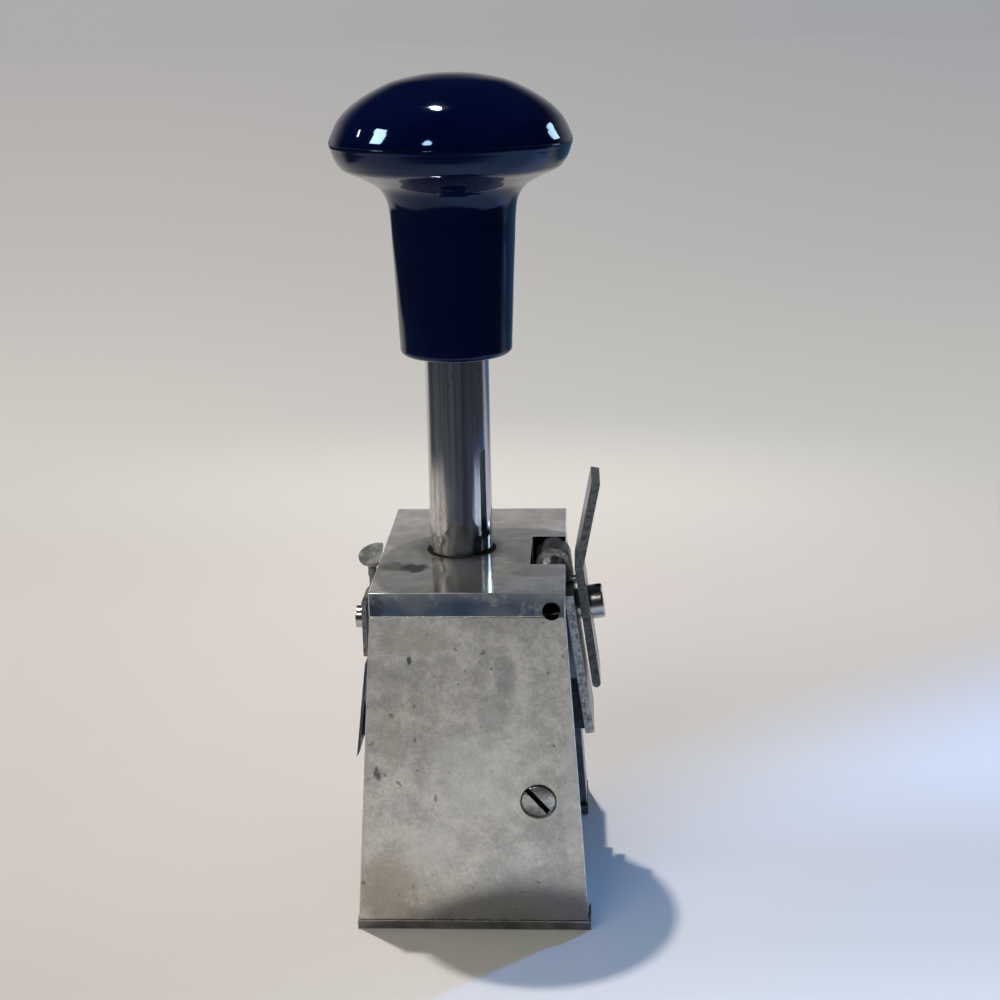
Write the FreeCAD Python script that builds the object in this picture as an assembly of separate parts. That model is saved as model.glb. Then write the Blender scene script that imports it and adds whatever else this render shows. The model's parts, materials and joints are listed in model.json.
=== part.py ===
import FreeCAD, Part
import math
import os

# Hand numbering machine: a knob pushes a carriage of number wheels down through
# an open frame, the ink pad swings out from under the wheels on the way, and two
# rocking levers sit at the sides.
# Lengths are in millimetres and angles in degrees. X runs to the right, Y to the
# rear, Z up. The origin is in the print window, on the plane that the base rests on.

os.makedirs("parts", exist_ok=True)
V = FreeCAD.Vector
X_AXIS = V(1, 0, 0)
Y_AXIS = V(0, 1, 0)
Z_AXIS = V(0, 0, 1)

# Clearances and one overrun that every cut uses
overrun = 1.0
running_gap = 0.05
screw_gap = 0.05
air_gap = 0.3

# Frame: overall sizes
frame_height = 71.0
frame_width_top = 37.9
frame_width_base = 46.6
front_reach_top = 28.2
rear_reach_top = 26.9
face_slope_run = 3.5
band_height = 4.9
head_thickness = 10.0
wall = 3.0
base_thickness = 2.0
base_lip = 0.25
flange_height = 3.6
flange_thickness = 0.4
flange_length = 4.2
front_foot_depth = 6.0
rear_foot_depth = 13.5
waist_width = 42.0
window_width = 31.0
window_depth = 17.0

# Rear wall and legs
rear_window_width = 27.0
rear_window_sill = 8.0
rear_window_top = 50.0
rear_leg_depth = 5.2
rear_leg_width = 3.5

# Cheeks, the inner guide plates
cheek_inner = 15.9
cheek_thickness = 2.0
cheek_front_top = 11.0
cheek_front_foot = 20.0
cheek_foot_height = 31.0
cheek_leg_gap = 0.2
cheek_relief = 6.0

# Stem and knob
stem_offset = 2.7
stem_radius = 6.5
stem_spigot_radius = 4.0
stem_end_depth = 13.8
knob_skirt_bottom = 112.2
knob_seam_height = 153.8
knob_top = 166.8
knob_rim_radius = 23.65
knob_seam_step = 0.05
knob_neck_radius = 12.45
knob_foot_radius = 11.3
knob_foot_round = 1.2

# Knob outline. Cap: share of the rim's radius, share of the way from seam to top.
# Under the rim: share of the rim's radius, share of the way from seam to foot.
# Hollow below it: share of the way from neck to rim, share of the way to the foot.
# Neck: share of the neck's radius, share of the way to the foot.
cap_shares = ((0.99, 0.092), (0.9615, 0.208), (0.919, 0.346), (0.839, 0.5), (0.728, 0.646),
              (0.597, 0.777), (0.455, 0.885), (0.275, 0.958))
rim_shares = ((0.991, 0.026), (0.966, 0.067), (0.939, 0.094), (0.891, 0.123), (0.761, 0.156))
hollow_shares = ((0.193, 0.202), (0.053, 0.26))
neck_shares = ((1.0, 0.332), (0.979, 0.476), (0.952, 0.644), (0.931, 0.812))
foot_share = 0.97

# Carriage
stroke = 28.0
axle_height = 40.0
axle_radius = 2.0
bridge_bottom = 56.0
bridge_thickness = 4.0
bridge_rear = 8.0
bridge_front = 22.0
bridge_nose_width = 21.2
buffer_thickness = 0.8
buffer_radius = 9.5
carriage_inner = 13.1
carriage_wall = 1.5
carriage_half_depth = 7.0
carriage_foot_radius = 6.0
detent_arm_half = 2.6
tie_rod_radius = 1.2

# Number wheels
wheel_count = 6
figures = 10
wheel_pitch = 4.0
wheel_gap = 0.2
wheel_disc_width = 2.8
wheel_type_radius = 12.0
wheel_disc_radius = 11.0
type_block_width = 4.6
ratchet_radius = 8.2
ratchet_root_radius = 6.9

# Detent leaves in front of the wheels
detent_rod_reach = 12.9
detent_rod_rise = 10.0
detent_leaf_thickness = 0.5
detent_leaf_width = 1.8
detent_leaf_drop = 12.0

# Feed frame and its pawls
feed_arm_thickness = 0.8
feed_arm_gap = 0.1
feed_bar_radius = 1.0
feed_bar_orbit_radius = 14.2
feed_bar_angle = 140.0
feed_eye_radius = 1.5
feed_hub_radius = 4.2
feed_pawl_width = 0.8
feed_pawl_depth = 1.8
feed_pawl_tip_gap = 0.2
feed_pawl_tip_shares = (0.6, 0.2)

# Ink pad carrier
pad_arm_thickness = 1.0
pad_arm_gap = 0.15
pad_hub_radius = 4.6
pad_turn = 100.0
pad_half_depth = 7.5
pad_half_width = 12.2
pad_thickness = 4.0
tray_wall = 0.8
tray_floor = 1.5
cam_pin_radius = 1.2
cam_pin_orbit_radius = 9.0
cam_pin_angle = -50.0
cam_lobe_radius = 2.4
cam_slot_gap = 0.35
cam_slot_steps = 12

# Guide rods and return springs
rod_radius = 1.5
rod_spacing = 15.0
rod_reach = 18.2
rod_socket = 4.0
spring_mean_radius = 2.75
spring_wire_radius = 0.45
spring_turns = 13

# Right lever, rocking on a pin in the notch of the head
right_pivot_x = 16.3
right_pivot_drop = 3.75
right_pin_radius = 1.75
right_bore_radius = 1.8
right_pin_front = 15.0
right_pin_rear = 12.0
notch_inner = 11.8
notch_front = 11.35
notch_rear = 6.8
right_tilt = 7.9
strap_thickness = 1.9
strap_length = 34.35
strap_side_gap = 0.45
knuckle_front = 1.0
washer_thickness = 0.9
washer_radius = 3.2
finger_thickness = 1.8
finger_width = 12.5
finger_front = 7.8
finger_low = 25.7
finger_bend_rise = 0.75
finger_tab_length = 18.6
finger_tab_tilt = 10.7
big_screw_drop = 8.7
big_screw_radius = 3.6
big_screw_head = 2.9
big_screw_shank = 2.0
big_screw_slot = 1.1
lug_top_drop = 27.1
lug_low_drop = 35.4
lug_width = 8.0
dowel_radius = 0.9
dowel_drop = 3.3
lever_spring_mean_radius = 2.45
lever_spring_wire_radius = 0.3
lever_spring_pitch = 1.1
lever_spring_turns = 8

# Left lever, rocking on a pin in an eye of the head
left_pivot_x = -21.3
left_pivot_drop = 11.9
left_pin_radius = 0.75
left_knuckle_radius = 1.7
left_arm_thickness = 0.7
left_lever_width = 8.0
left_kink_drop = 11.5
left_jog_run = 0.7
left_jog_drop = 1.4
left_arm_drop = 34.5
left_arm_run = 3.4
left_arm_cut = 1.2
eye_width = 3.0
eye_side_gap = 0.2
eye_radius = 1.2
eye_leaf = 0.9
eye_leaf_rise = 5.9
thumb_plate_thickness = 1.0
thumb_plate_width = 6.2
thumb_neck_radius = 0.75
thumb_neck_shift = 0.4
thumb_collar_radius = 0.9
thumb_collar_rise = 5.7
thumb_disc_radius = 3.6
thumb_disc_thickness = 1.0
thumb_disc_tilt = 7.5
thumb_disc_lean = 19.0
thumb_disc_shift = 0.4
thumb_disc_rise = 10.2
thumb_disc_flat = 19.6
left_screw_drop = 3.6
left_screw_radius = 2.35
left_screw_head = 1.5
left_screw_shank = 1.1
left_block_top_drop = 24.8
left_block_low_drop = 30.2
left_block_reach = 22.0
left_block_width = 5.0

# Screws
front_screw_x = 13.4
front_screw_z = 27.8
front_screw_radius = 3.55
front_screw_head = 2.2
front_screw_shank = 1.75
front_screw_length = 8.0
front_screw_slot = 1.1
front_screw_slot_depth = 1.3
front_screw_turn = -50.0
bracket_width = 4.7
bracket_rise = 3.2
bracket_rear = 17.0
small_screw_radius = 2.2
small_screw_head = 1.0
small_screw_shank = 1.1
small_screw_length = 4.0
small_screw_slot = 0.6
small_screw_slot_depth = 0.5
carriage_screw_spacing = 10.0
rear_screw_spacing = 24.0
base_screw_radius = 1.7
base_screw_inset = 1.75
screw_turns = (25.0, -50.0)

# Values that follow from the ones above
head_bottom = frame_height - head_thickness
band_bottom = frame_height - band_height
face_fall = band_bottom - base_thickness
half_top = frame_width_top / 2
half_base = frame_width_base / 2
cheek_outer = cheek_inner + cheek_thickness
leg_front = rear_reach_top - wall - rear_leg_depth
cheek_rear = leg_front - cheek_leg_gap
carriage_outer = carriage_inner + carriage_wall
bridge_top = bridge_bottom + bridge_thickness
wheel_width = wheel_pitch - wheel_gap
pad_top_drop = wheel_type_radius + air_gap
pad_low_drop = pad_top_drop + pad_thickness
tray_low_drop = pad_low_drop + tray_floor
tray_half_depth = pad_half_depth + tray_wall
pad_arm_inner = carriage_outer + pad_arm_gap
pad_arm_outer = pad_arm_inner + pad_arm_thickness
axle_half = pad_arm_outer
stem_x = -stem_offset
stem_top = knob_seam_height - stem_end_depth
right_pivot_z = frame_height - right_pivot_drop
left_pivot_z = frame_height - left_pivot_drop
right_knuckle_radius = right_bore_radius + strap_thickness
finger_inner = right_knuckle_radius + washer_thickness
finger_outer = finger_inner + finger_thickness


def half_width(z):
    """Half the frame's width at a height."""
    share = (band_bottom - z) / face_fall
    return half_top + (half_base - half_top) * min(max(share, 0), 1)


def slope_out(z):
    """How far the front and rear faces have sloped out at a height."""
    return face_slope_run * (band_bottom - z) / face_fall


def front_face(z):
    return -front_reach_top - slope_out(z)


def rear_face(z):
    return rear_reach_top + slope_out(z)


def box(x0, x1, y0, y1, z0, z1):
    return Part.makeBox(x1 - x0, y1 - y0, z1 - z0, V(x0, y0, z0))


def rod(radius, length, base, axis):
    return Part.makeCylinder(radius, length, base, axis)


def prism(points, direction):
    """A flat outline of corner points, pushed along a direction."""
    return Part.Face(Part.makePolygon(points + [points[0]])).extrude(direction)


def hexahedron(low, high):
    """A solid with flat sides between a lower and an upper outline of four corners."""
    faces = [Part.Face(Part.makePolygon(ring + [ring[0]])) for ring in (low, high)]
    for i in range(len(low)):
        j = (i + 1) % len(low)
        side = [low[i], low[j], high[j], high[i], low[i]]
        faces.append(Part.Face(Part.makePolygon(side)))
    solid = Part.Solid(Part.Shell(faces))
    return solid.reversed() if solid.Volume < 0 else solid


def rect(x0, x1, y0, y1, z):
    return [V(x0, y0, z), V(x1, y0, z), V(x1, y1, z), V(x0, y1, z)]


def join(shapes):
    whole = shapes[0]
    for shape in shapes[1:]:
        whole = whole.fuse(shape)
    return whole.removeSplitter()


def cut(shape, tools):
    for tool in tools:
        shape = shape.cut(tool)
    return shape


def save(name, shape):
    """Write one node, whether it is one solid or a group of equal ones."""
    if isinstance(shape, list):
        shape = Part.makeCompound(shape)
    if not shape.isValid():
        print(name, "is not valid")
    shape.exportStep("parts/" + name + ".step")
    return shape


def slotted_screw(radius, head, shank, length, slot, slot_depth, seat, axis, turn):
    """A screw whose head stands on the seat, with its shank running back along -axis."""
    body = rod(radius, head, V(0, 0, 0), Z_AXIS)
    body = body.makeFillet(head / 8, [body.Edges[0]])
    groove = box(-radius - overrun, radius + overrun, -slot / 2, slot / 2,
                 head - slot_depth, head + overrun)
    groove.rotate(V(0, 0, 0), Z_AXIS, turn)
    body = body.cut(groove).fuse(rod(shank, length, V(0, 0, -length), Z_AXIS))
    body.Placement = FreeCAD.Placement(seat, FreeCAD.Rotation(Z_AXIS, axis))
    return body


def arc_from(start, tangent, end):
    """The arc that leaves start along the tangent and ends at end."""
    chord = end - start
    along = FreeCAD.Vector(chord).normalize()
    off = tangent - along * tangent.dot(along)
    half_angle = math.acos(max(-1, min(1, tangent.dot(along))))
    middle = start + chord / 2 + off.normalize() * (chord.Length / 2) * math.tan(half_angle / 2)
    return Part.Arc(start, middle, end)


def biarc(p, t, q, u):
    """Two tangent arcs from p along t to q along u."""
    v = q - p
    a = 2 * (1 - t.dot(u))
    b = v.dot(t + u)
    d = (math.sqrt(b * b + a * v.dot(v)) - b) / a
    joint = (p + t * d + q - u * d) / 2
    tangent = (joint - (p + t * d)).normalize()
    return [arc_from(p, t, joint), arc_from(joint, tangent, q)]


def coil(name, centre, axis, side, mean, wire, pitch, turns):
    """One unbroken wire wound about an axis, on arcs of an eighth of a turn."""
    across = axis.cross(side)
    rise = pitch / (2 * math.pi * mean)
    norm = math.sqrt(1 + rise * rise)

    def point(k):
        a = math.pi / 2 * k
        return centre + side * (mean * math.cos(a)) + across * (mean * math.sin(a)) + axis * (pitch * k / 4)

    def tangent(k):
        a = math.pi / 2 * k
        flat = side * -math.sin(a) + across * math.cos(a)
        return (flat + axis * rise) / norm

    curves = []
    for k in range(turns * 4):
        curves += biarc(point(k), tangent(k), point(k + 1), tangent(k + 1))
    path = Part.Wire([curve.toShape() for curve in curves])
    section = Part.Wire(Part.Circle(point(0), tangent(0), wire).toShape())
    shell = Part.BRepOffsetAPI.MakePipeShell(path)
    shell.add(section)
    shell.build()
    shell.makeSolid()
    solid = shell.shape()
    near = [path.Edges[i].valueAt(path.Edges[i].FirstParameter) for i in range(len(path.Edges))]
    gaps = [(near[i] - near[j]).Length for i in range(len(near)) for j in range(i + 5, len(near))]
    print(name, "least gap to itself %.2f" % (min(gaps) - 2 * wire))
    return solid


# Head: the thick top of the frame, with the stem bore and the notch of the right lever
def top_head():
    def inner(face, z):
        return face(z) + wall if face is front_face else face(z) - wall
    outline = [V(-half_top, front_face(band_bottom), frame_height),
               V(-half_top, front_face(band_bottom), band_bottom),
               V(-half_top, inner(front_face, band_bottom), band_bottom),
               V(-half_top, inner(front_face, head_bottom), head_bottom),
               V(-half_top, inner(rear_face, head_bottom), head_bottom),
               V(-half_top, inner(rear_face, band_bottom), band_bottom),
               V(-half_top, rear_face(band_bottom), band_bottom),
               V(-half_top, rear_face(band_bottom), frame_height)]
    head = prism(outline, V(frame_width_top, 0, 0))
    stem_bore = rod(stem_radius + running_gap, head_thickness + 2 * overrun,
                    V(stem_x, 0, head_bottom - overrun), Z_AXIS)
    notch = box(notch_inner, half_top + overrun, -notch_front, notch_rear,
                head_bottom - overrun, frame_height + overrun)
    sockets = [rod(rod_radius + running_gap, rod_socket + overrun,
                   V(x, -rod_reach, head_bottom - overrun), Z_AXIS) for x in rod_places()]
    return cut(head, [stem_bore, notch, pivot_bore()] + sockets + rear_screw_holes())


def pivot_bore():
    """The bore of the right lever's pin, drilled in from the front."""
    return rod(right_bore_radius, front_reach_top + overrun + right_pin_rear,
               V(right_pivot_x, -front_reach_top - overrun, right_pivot_z), Y_AXIS)


def rod_places():
    return (-rod_spacing / 2, rod_spacing / 2)


def rear_screw_height():
    return (head_bottom + band_bottom) / 2


def rear_screw_seats():
    """Where the rear wall's two screws stand on its sloping face."""
    z = rear_screw_height()
    return [V(x, rear_face(z), z) for x in (-rear_screw_spacing / 2, rear_screw_spacing / 2)]


def rear_screw_axis():
    return V(0, face_fall, face_slope_run).normalize()


def rear_screw_holes():
    out = rear_screw_axis()
    return [rod(small_screw_shank + screw_gap, small_screw_length + 2 * overrun, seat + out * overrun, -out)
            for seat in rear_screw_seats()]


# Front plate: the plain sloping shield, with a countersunk seat for its screw
def front_plate():
    low = rect(-half_base, half_base, front_face(base_thickness), front_face(base_thickness) + wall,
               base_thickness)
    high = rect(-half_top, half_top, front_face(band_bottom), front_face(band_bottom) + wall, band_bottom)
    seat = front_screw_seat()
    out = front_screw_axis()
    head_hole = rod(front_screw_radius + screw_gap, front_screw_head + overrun, seat, out)
    shank_hole = rod(front_screw_shank + screw_gap, front_screw_length, seat, -out)
    return cut(hexahedron(low, high), [head_hole, shank_hole, pivot_bore()])


def front_screw_axis():
    return V(0, -face_fall, -face_slope_run).normalize()


def front_screw_seat():
    """Where the underside of the front screw's head rests."""
    face = V(front_screw_x, front_face(front_screw_z), front_screw_z)
    return face - front_screw_axis() * front_screw_head


# Rear wall with a wide window, through which the ink pad is reached
def rear_plate():
    low = rect(-half_base, half_base, rear_face(base_thickness) - wall, rear_face(base_thickness),
               base_thickness)
    high = rect(-half_top, half_top, rear_face(band_bottom) - wall, rear_face(band_bottom), band_bottom)
    window = box(-rear_window_width / 2, rear_window_width / 2, rear_reach_top - wall - overrun,
                 rear_face(base_thickness) + overrun, rear_window_sill, rear_window_top)
    return cut(hexahedron(low, high), [window] + rear_screw_holes())


# Rear legs: the deep side posts in front of the rear wall
def rear_leg(side):
    def outline(z):
        outer = side * half_width(z)
        inner = outer - side * rear_leg_width
        rear = rear_face(z) - wall
        return rect(min(outer, inner), max(outer, inner), leg_front, rear, z)
    leg = hexahedron(outline(base_thickness), outline(head_bottom))
    hole = rod(small_screw_shank + screw_gap, small_screw_length,
               V(side * (half_base - base_screw_inset), leg_screw_y(), base_thickness), Z_AXIS)
    return leg.cut(hole)


def leg_screw_y():
    return leg_front + rear_leg_depth / 2


# Base plate: a thin shoe with front and rear feet, a waist and the print window
def base_plate():
    front = front_face(base_thickness) - base_lip
    rear = rear_face(base_thickness) + base_lip
    wide = half_base + base_lip
    feet = [box(-wide, wide, front, front + front_foot_depth, 0, base_thickness),
            box(-waist_width / 2, waist_width / 2, front, rear, 0, base_thickness),
            box(-wide, wide, rear - rear_foot_depth, rear, 0, base_thickness)]
    flange = half_base + base_lip / 2
    feet.append(box(flange, flange + flange_thickness, front, front + flange_length, 0, flange_height))
    window = box(-window_width / 2, window_width / 2, -window_depth / 2, window_depth / 2,
                 -overrun, base_thickness + overrun)
    heads = [rod(base_screw_radius + screw_gap, small_screw_head + overrun, V(x, y, -overrun), Z_AXIS)
             for x, y in base_screw_places()]
    shanks = [rod(small_screw_shank + screw_gap, base_thickness + overrun, V(x, y, 0), Z_AXIS)
              for x, y in base_screw_places()]
    return cut(join(feet), [window] + heads + shanks)


def base_screw_places():
    """One screw up into each rear leg."""
    return [(side * (half_base - base_screw_inset), leg_screw_y()) for side in (-1, 1)]


# Cheeks: the inner guide plates, each with the curved slot that steers the ink pad
def cheek(side):
    outline = [V(0, -cheek_front_foot, base_thickness), V(0, -cheek_front_foot, cheek_foot_height),
               V(0, -cheek_front_top, cheek_foot_height + cheek_front_foot - cheek_front_top),
               V(0, -cheek_front_top, head_bottom), V(0, cheek_rear, head_bottom),
               V(0, cheek_rear, base_thickness), V(0, cheek_relief * 2, base_thickness),
               V(0, cheek_relief, base_thickness + cheek_relief / 2),
               V(0, -cheek_relief, base_thickness + cheek_relief / 2),
               V(0, -cheek_relief * 2, base_thickness)]
    plate = prism(outline, V(cheek_thickness, 0, 0))
    plate = plate.cut(cam_slot())
    plate.translate(V(cheek_inner if side > 0 else -cheek_outer, 0, 0))
    return plate


def cam_path(share):
    """The cam pin's place in the frame when the plunger has gone a share of its stroke."""
    angle = math.radians(cam_pin_angle + pad_turn * share)
    return V(0, cam_pin_orbit_radius * math.sin(angle),
             axle_height - stroke * share - cam_pin_orbit_radius * math.cos(angle))


def cam_slot():
    half = cam_pin_radius + cam_slot_gap
    centres = [cam_path(k / cam_slot_steps) for k in range(cam_slot_steps + 1)]
    left, right, ends = [], [], []
    for k, centre in enumerate(centres):
        along = (centres[min(k + 1, cam_slot_steps)] - centres[max(k - 1, 0)]).normalize()
        left.append(centre + along.cross(X_AXIS) * half)
        right.append(centre - along.cross(X_AXIS) * half)
        ends.append(along)
    low_end = Part.Arc(left[-1], centres[-1] + ends[-1] * half, right[-1])
    high_end = Part.Arc(right[0], centres[0] - ends[0] * half, left[0])
    edges = [spline(left).toShape(), low_end.toShape(), spline(right[::-1]).toShape(), high_end.toShape()]
    slot = Part.Face(Part.Wire(edges)).extrude(V(cheek_thickness + 2 * overrun, 0, 0))
    slot.translate(V(-overrun, 0, 0))
    return slot


def spline(points):
    curve = Part.BSplineCurve()
    curve.interpolate(points)
    return curve


# Front bracket: the block on the right cheek that takes the front plate's screw
def front_bracket():
    low_z, high_z = front_screw_z - bracket_rise, front_screw_z + bracket_rise
    inner = cheek_inner - bracket_width

    def outline(z):
        return rect(inner, cheek_inner, front_face(z) + wall, -bracket_rear, z)
    block = hexahedron(outline(low_z), outline(high_z))
    hole = rod(front_screw_shank + screw_gap, front_screw_head + front_screw_length + overrun,
               front_screw_seat(), -front_screw_axis())
    return block.cut(hole)


def front_screw():
    return slotted_screw(front_screw_radius, front_screw_head, front_screw_shank, front_screw_length,
                         front_screw_slot, front_screw_slot_depth, front_screw_seat(),
                         front_screw_axis(), front_screw_turn)


def rear_screws():
    """The rear wall's two screws into the head."""
    return [slotted_screw(small_screw_radius, small_screw_head, small_screw_shank, small_screw_length,
                          small_screw_slot, small_screw_slot_depth, seat, rear_screw_axis(), turn)
            for seat, turn in zip(rear_screw_seats(), screw_turns)]


def base_screws():
    return [slotted_screw(base_screw_radius, small_screw_head - base_lip, small_screw_shank,
                          small_screw_length, small_screw_slot, small_screw_slot_depth,
                          V(x, y, small_screw_head), -Z_AXIS, turn)
            for (x, y), turn in zip(base_screw_places(), screw_turns)]


# Guide rods and the springs wound round them
def guide_rods():
    length = head_bottom + rod_socket - base_thickness
    return [rod(rod_radius, length, V(x, -rod_reach, base_thickness), Z_AXIS) for x in rod_places()]


def return_spring(name, x):
    free = bridge_bottom - base_thickness - 2 * spring_wire_radius
    return coil(name, V(x, -rod_reach, base_thickness + spring_wire_radius), Z_AXIS, X_AXIS,
                spring_mean_radius, spring_wire_radius, free / spring_turns, spring_turns)


# Stem and knob
def stem():
    shaft = rod(stem_radius, stem_top - bridge_top, V(stem_x, 0, bridge_top), Z_AXIS)
    shaft = shaft.makeChamfer(stem_radius / 8, [shaft.Edges[0]])
    spigot = rod(stem_spigot_radius, bridge_thickness, V(stem_x, 0, bridge_bottom), Z_AXIS)
    return join([shaft, spigot])


def turned(points, curved):
    """A solid of revolution about the stem: an outline in radius and height, with
    the middle stretch given as a smooth curve."""
    def place(point):
        return V(stem_x + point[0], 0, point[1])
    edges = []
    for start, end in zip(points[:-1], points[1:]):
        edges.append(Part.makeLine(place(start), place(end)))
    curve = spline([place(point) for point in curved])
    edges.append(curve.toShape())
    face = Part.Face(Part.Wire(Part.sortEdges(edges)[0]))
    solid = face.revolve(V(stem_x, 0, 0), Z_AXIS, 360)
    return solid.reversed() if solid.Volume < 0 else solid


def knob_rise(share):
    """A height in the knob's cap, as a share of the way from its seam to its top."""
    return knob_seam_height + (knob_top - knob_seam_height) * share


def knob_drop(share):
    """A height in the knob's body, as a share of the way from its seam to its foot."""
    return knob_seam_height - (knob_seam_height - knob_skirt_bottom) * share


def knob_cap():
    """The domed cap above the seam."""
    rim = knob_rim_radius
    dome = [(rim - knob_seam_step, knob_seam_height)]
    dome += [(rim * out, knob_rise(up)) for out, up in cap_shares]
    dome.append((0, knob_top))
    base = [(0, knob_top), (0, knob_seam_height), (rim - knob_seam_step, knob_seam_height)]
    return turned(base, dome)


def knob():
    """The body below the seam: a rim drawn in to a long, slightly tapered neck."""
    rim = knob_rim_radius - knob_seam_step
    neck, foot = knob_neck_radius, knob_foot_radius
    under = [(rim, knob_seam_height)]
    under += [(rim * out, knob_drop(down)) for out, down in rim_shares]
    under += [(neck + (rim - neck) * out, knob_drop(down)) for out, down in hollow_shares]
    under += [(neck * out, knob_drop(down)) for out, down in neck_shares]
    under.append((foot, knob_drop(foot_share)))
    bore = stem_radius + screw_gap
    inner = [(foot, knob_drop(foot_share)), (foot - knob_foot_round, knob_skirt_bottom),
             (bore, knob_skirt_bottom), (bore, stem_top), (0, stem_top), (0, knob_seam_height),
             (rim, knob_seam_height)]
    return turned(inner, under)


# Carriage: the bridge under the stem and the two plates that carry the axle
def carriage_bridge():
    body = box(-carriage_inner, carriage_inner, -carriage_half_depth, bridge_rear, bridge_bottom, bridge_top)
    nose = box(-bridge_nose_width / 2, bridge_nose_width / 2, -bridge_front, 0, bridge_bottom, bridge_top)
    spigot = rod(stem_spigot_radius + screw_gap, bridge_thickness + 2 * overrun,
                 V(stem_x, 0, bridge_bottom - overrun), Z_AXIS)
    holes = [rod(rod_radius + running_gap, bridge_thickness + 2 * overrun,
                 V(x, -rod_reach, bridge_bottom - overrun), Z_AXIS) for x in rod_places()]
    threads = [rod(small_screw_shank + screw_gap, small_screw_length + overrun,
                   V(side * (carriage_inner + overrun), y, screw_line()), X_AXIS * -side)
               for side in (-1, 1) for y in carriage_screw_rows()]
    return cut(join([body, nose]), [spigot] + holes + threads)


def screw_line():
    return (bridge_bottom + bridge_top) / 2


def carriage_screw_rows():
    return (-carriage_screw_spacing / 2, carriage_screw_spacing / 2)


def buffer_washer():
    ring = rod(buffer_radius, buffer_thickness, V(stem_x, 0, bridge_top), Z_AXIS)
    return ring.cut(rod(stem_radius + screw_gap, buffer_thickness + 2 * overrun,
                        V(stem_x, 0, bridge_top - overrun), Z_AXIS))


def carriage_plate(side):
    """A side plate: round about the axle, with an ear forward for the detent rod."""
    depth = carriage_half_depth
    ear_y, ear_z = -detent_rod_reach, axle_height + detent_rod_rise
    blade = box(0, carriage_wall, -depth, depth, axle_height, bridge_top)
    boss = rod(carriage_foot_radius, carriage_wall, V(0, 0, axle_height), X_AXIS)
    ear = box(0, carriage_wall, ear_y, 0, ear_z - detent_arm_half, ear_z + detent_arm_half)
    tip = rod(detent_arm_half, carriage_wall, V(0, ear_y, ear_z), X_AXIS)
    holes = [rod(axle_radius, carriage_wall + 2 * overrun, V(-overrun, 0, axle_height), X_AXIS),
             rod(tie_rod_radius, carriage_wall + 2 * overrun, V(-overrun, ear_y, ear_z), X_AXIS)]
    for y in carriage_screw_rows():
        holes.append(rod(small_screw_shank + screw_gap, carriage_wall + 2 * overrun,
                         V(-overrun, y, screw_line()), X_AXIS))
    plate = cut(join([blade, boss, ear, tip]), holes)
    plate.translate(V(carriage_inner if side > 0 else -carriage_outer, 0, 0))
    return plate


def carriage_screws():
    return [slotted_screw(small_screw_radius, small_screw_head, small_screw_shank,
                          small_screw_length, small_screw_slot, small_screw_slot_depth,
                          V(side * carriage_outer, y, screw_line()), X_AXIS * side, turn)
            for side in (-1, 1) for y, turn in zip(carriage_screw_rows(), screw_turns)]


def wheel_axle():
    return rod(axle_radius, 2 * axle_half, V(-axle_half, 0, axle_height), X_AXIS)


def detent_rod():
    return rod(tie_rod_radius, 2 * carriage_outer,
               V(-carriage_outer, -detent_rod_reach, axle_height + detent_rod_rise), X_AXIS)


def detent_springs():
    """One leaf for each wheel, hanging from the rod in front of its figures."""
    top = axle_height + detent_rod_rise
    front = -detent_rod_reach - tie_rod_radius
    rear = -wheel_type_radius - air_gap
    leaves = []
    for i in range(wheel_count):
        x = wheel_left(i) + (wheel_disc_width - detent_leaf_width) / 2
        eye = rod(tie_rod_radius + detent_leaf_thickness, detent_leaf_width,
                  V(x, -detent_rod_reach, top), X_AXIS)
        leaf = box(x, x + detent_leaf_width, rear - detent_leaf_thickness, rear, top - detent_leaf_drop, top)
        hole = rod(tie_rod_radius, detent_leaf_width + 2 * overrun,
                   V(x - overrun, -detent_rod_reach, top), X_AXIS)
        leaves.append(join([eye, leaf]).cut(hole))
    return leaves


# Number wheels: a disc with ten raised figure blocks, and a ratchet beside it
def wheel_left(i):
    return (i - wheel_count / 2) * wheel_pitch + wheel_gap / 2


def number_wheel(i):
    left = wheel_left(i)
    centre = V(left, 0, axle_height)
    disc = rod(wheel_disc_radius, wheel_disc_width, centre, X_AXIS)
    step = 360 / figures
    for k in range(figures):
        block = box(left, left + wheel_disc_width, -type_block_width / 2, type_block_width / 2,
                    axle_height + wheel_disc_radius / 2, axle_height + wheel_type_radius)
        block = block.common(rod(wheel_type_radius, wheel_disc_width, centre, X_AXIS))
        block.rotate(V(0, 0, axle_height), X_AXIS, step * k)
        disc = disc.fuse(block)
    teeth = []
    for k in range(figures):
        high = math.radians(step * k)
        low = math.radians(step * (k + 1))
        for angle, radius in ((high, ratchet_radius), (low, ratchet_root_radius)):
            teeth.append(V(left + wheel_disc_width, radius * math.sin(angle),
                           axle_height + radius * math.cos(angle)))
    ratchet = prism(teeth, V(wheel_width - wheel_disc_width, 0, 0))
    bore = rod(axle_radius + running_gap, wheel_width + 2 * overrun, centre - X_AXIS * overrun, X_AXIS)
    return disc.fuse(ratchet).cut(bore)


# Feed frame: rocks on the axle and turns the wheels on by their ratchets
def polar(radius, angle):
    """A place round the axle, with the angle counted from straight down to the rear."""
    turn = math.radians(angle)
    return V(0, radius * math.sin(turn), axle_height - radius * math.cos(turn))


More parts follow.
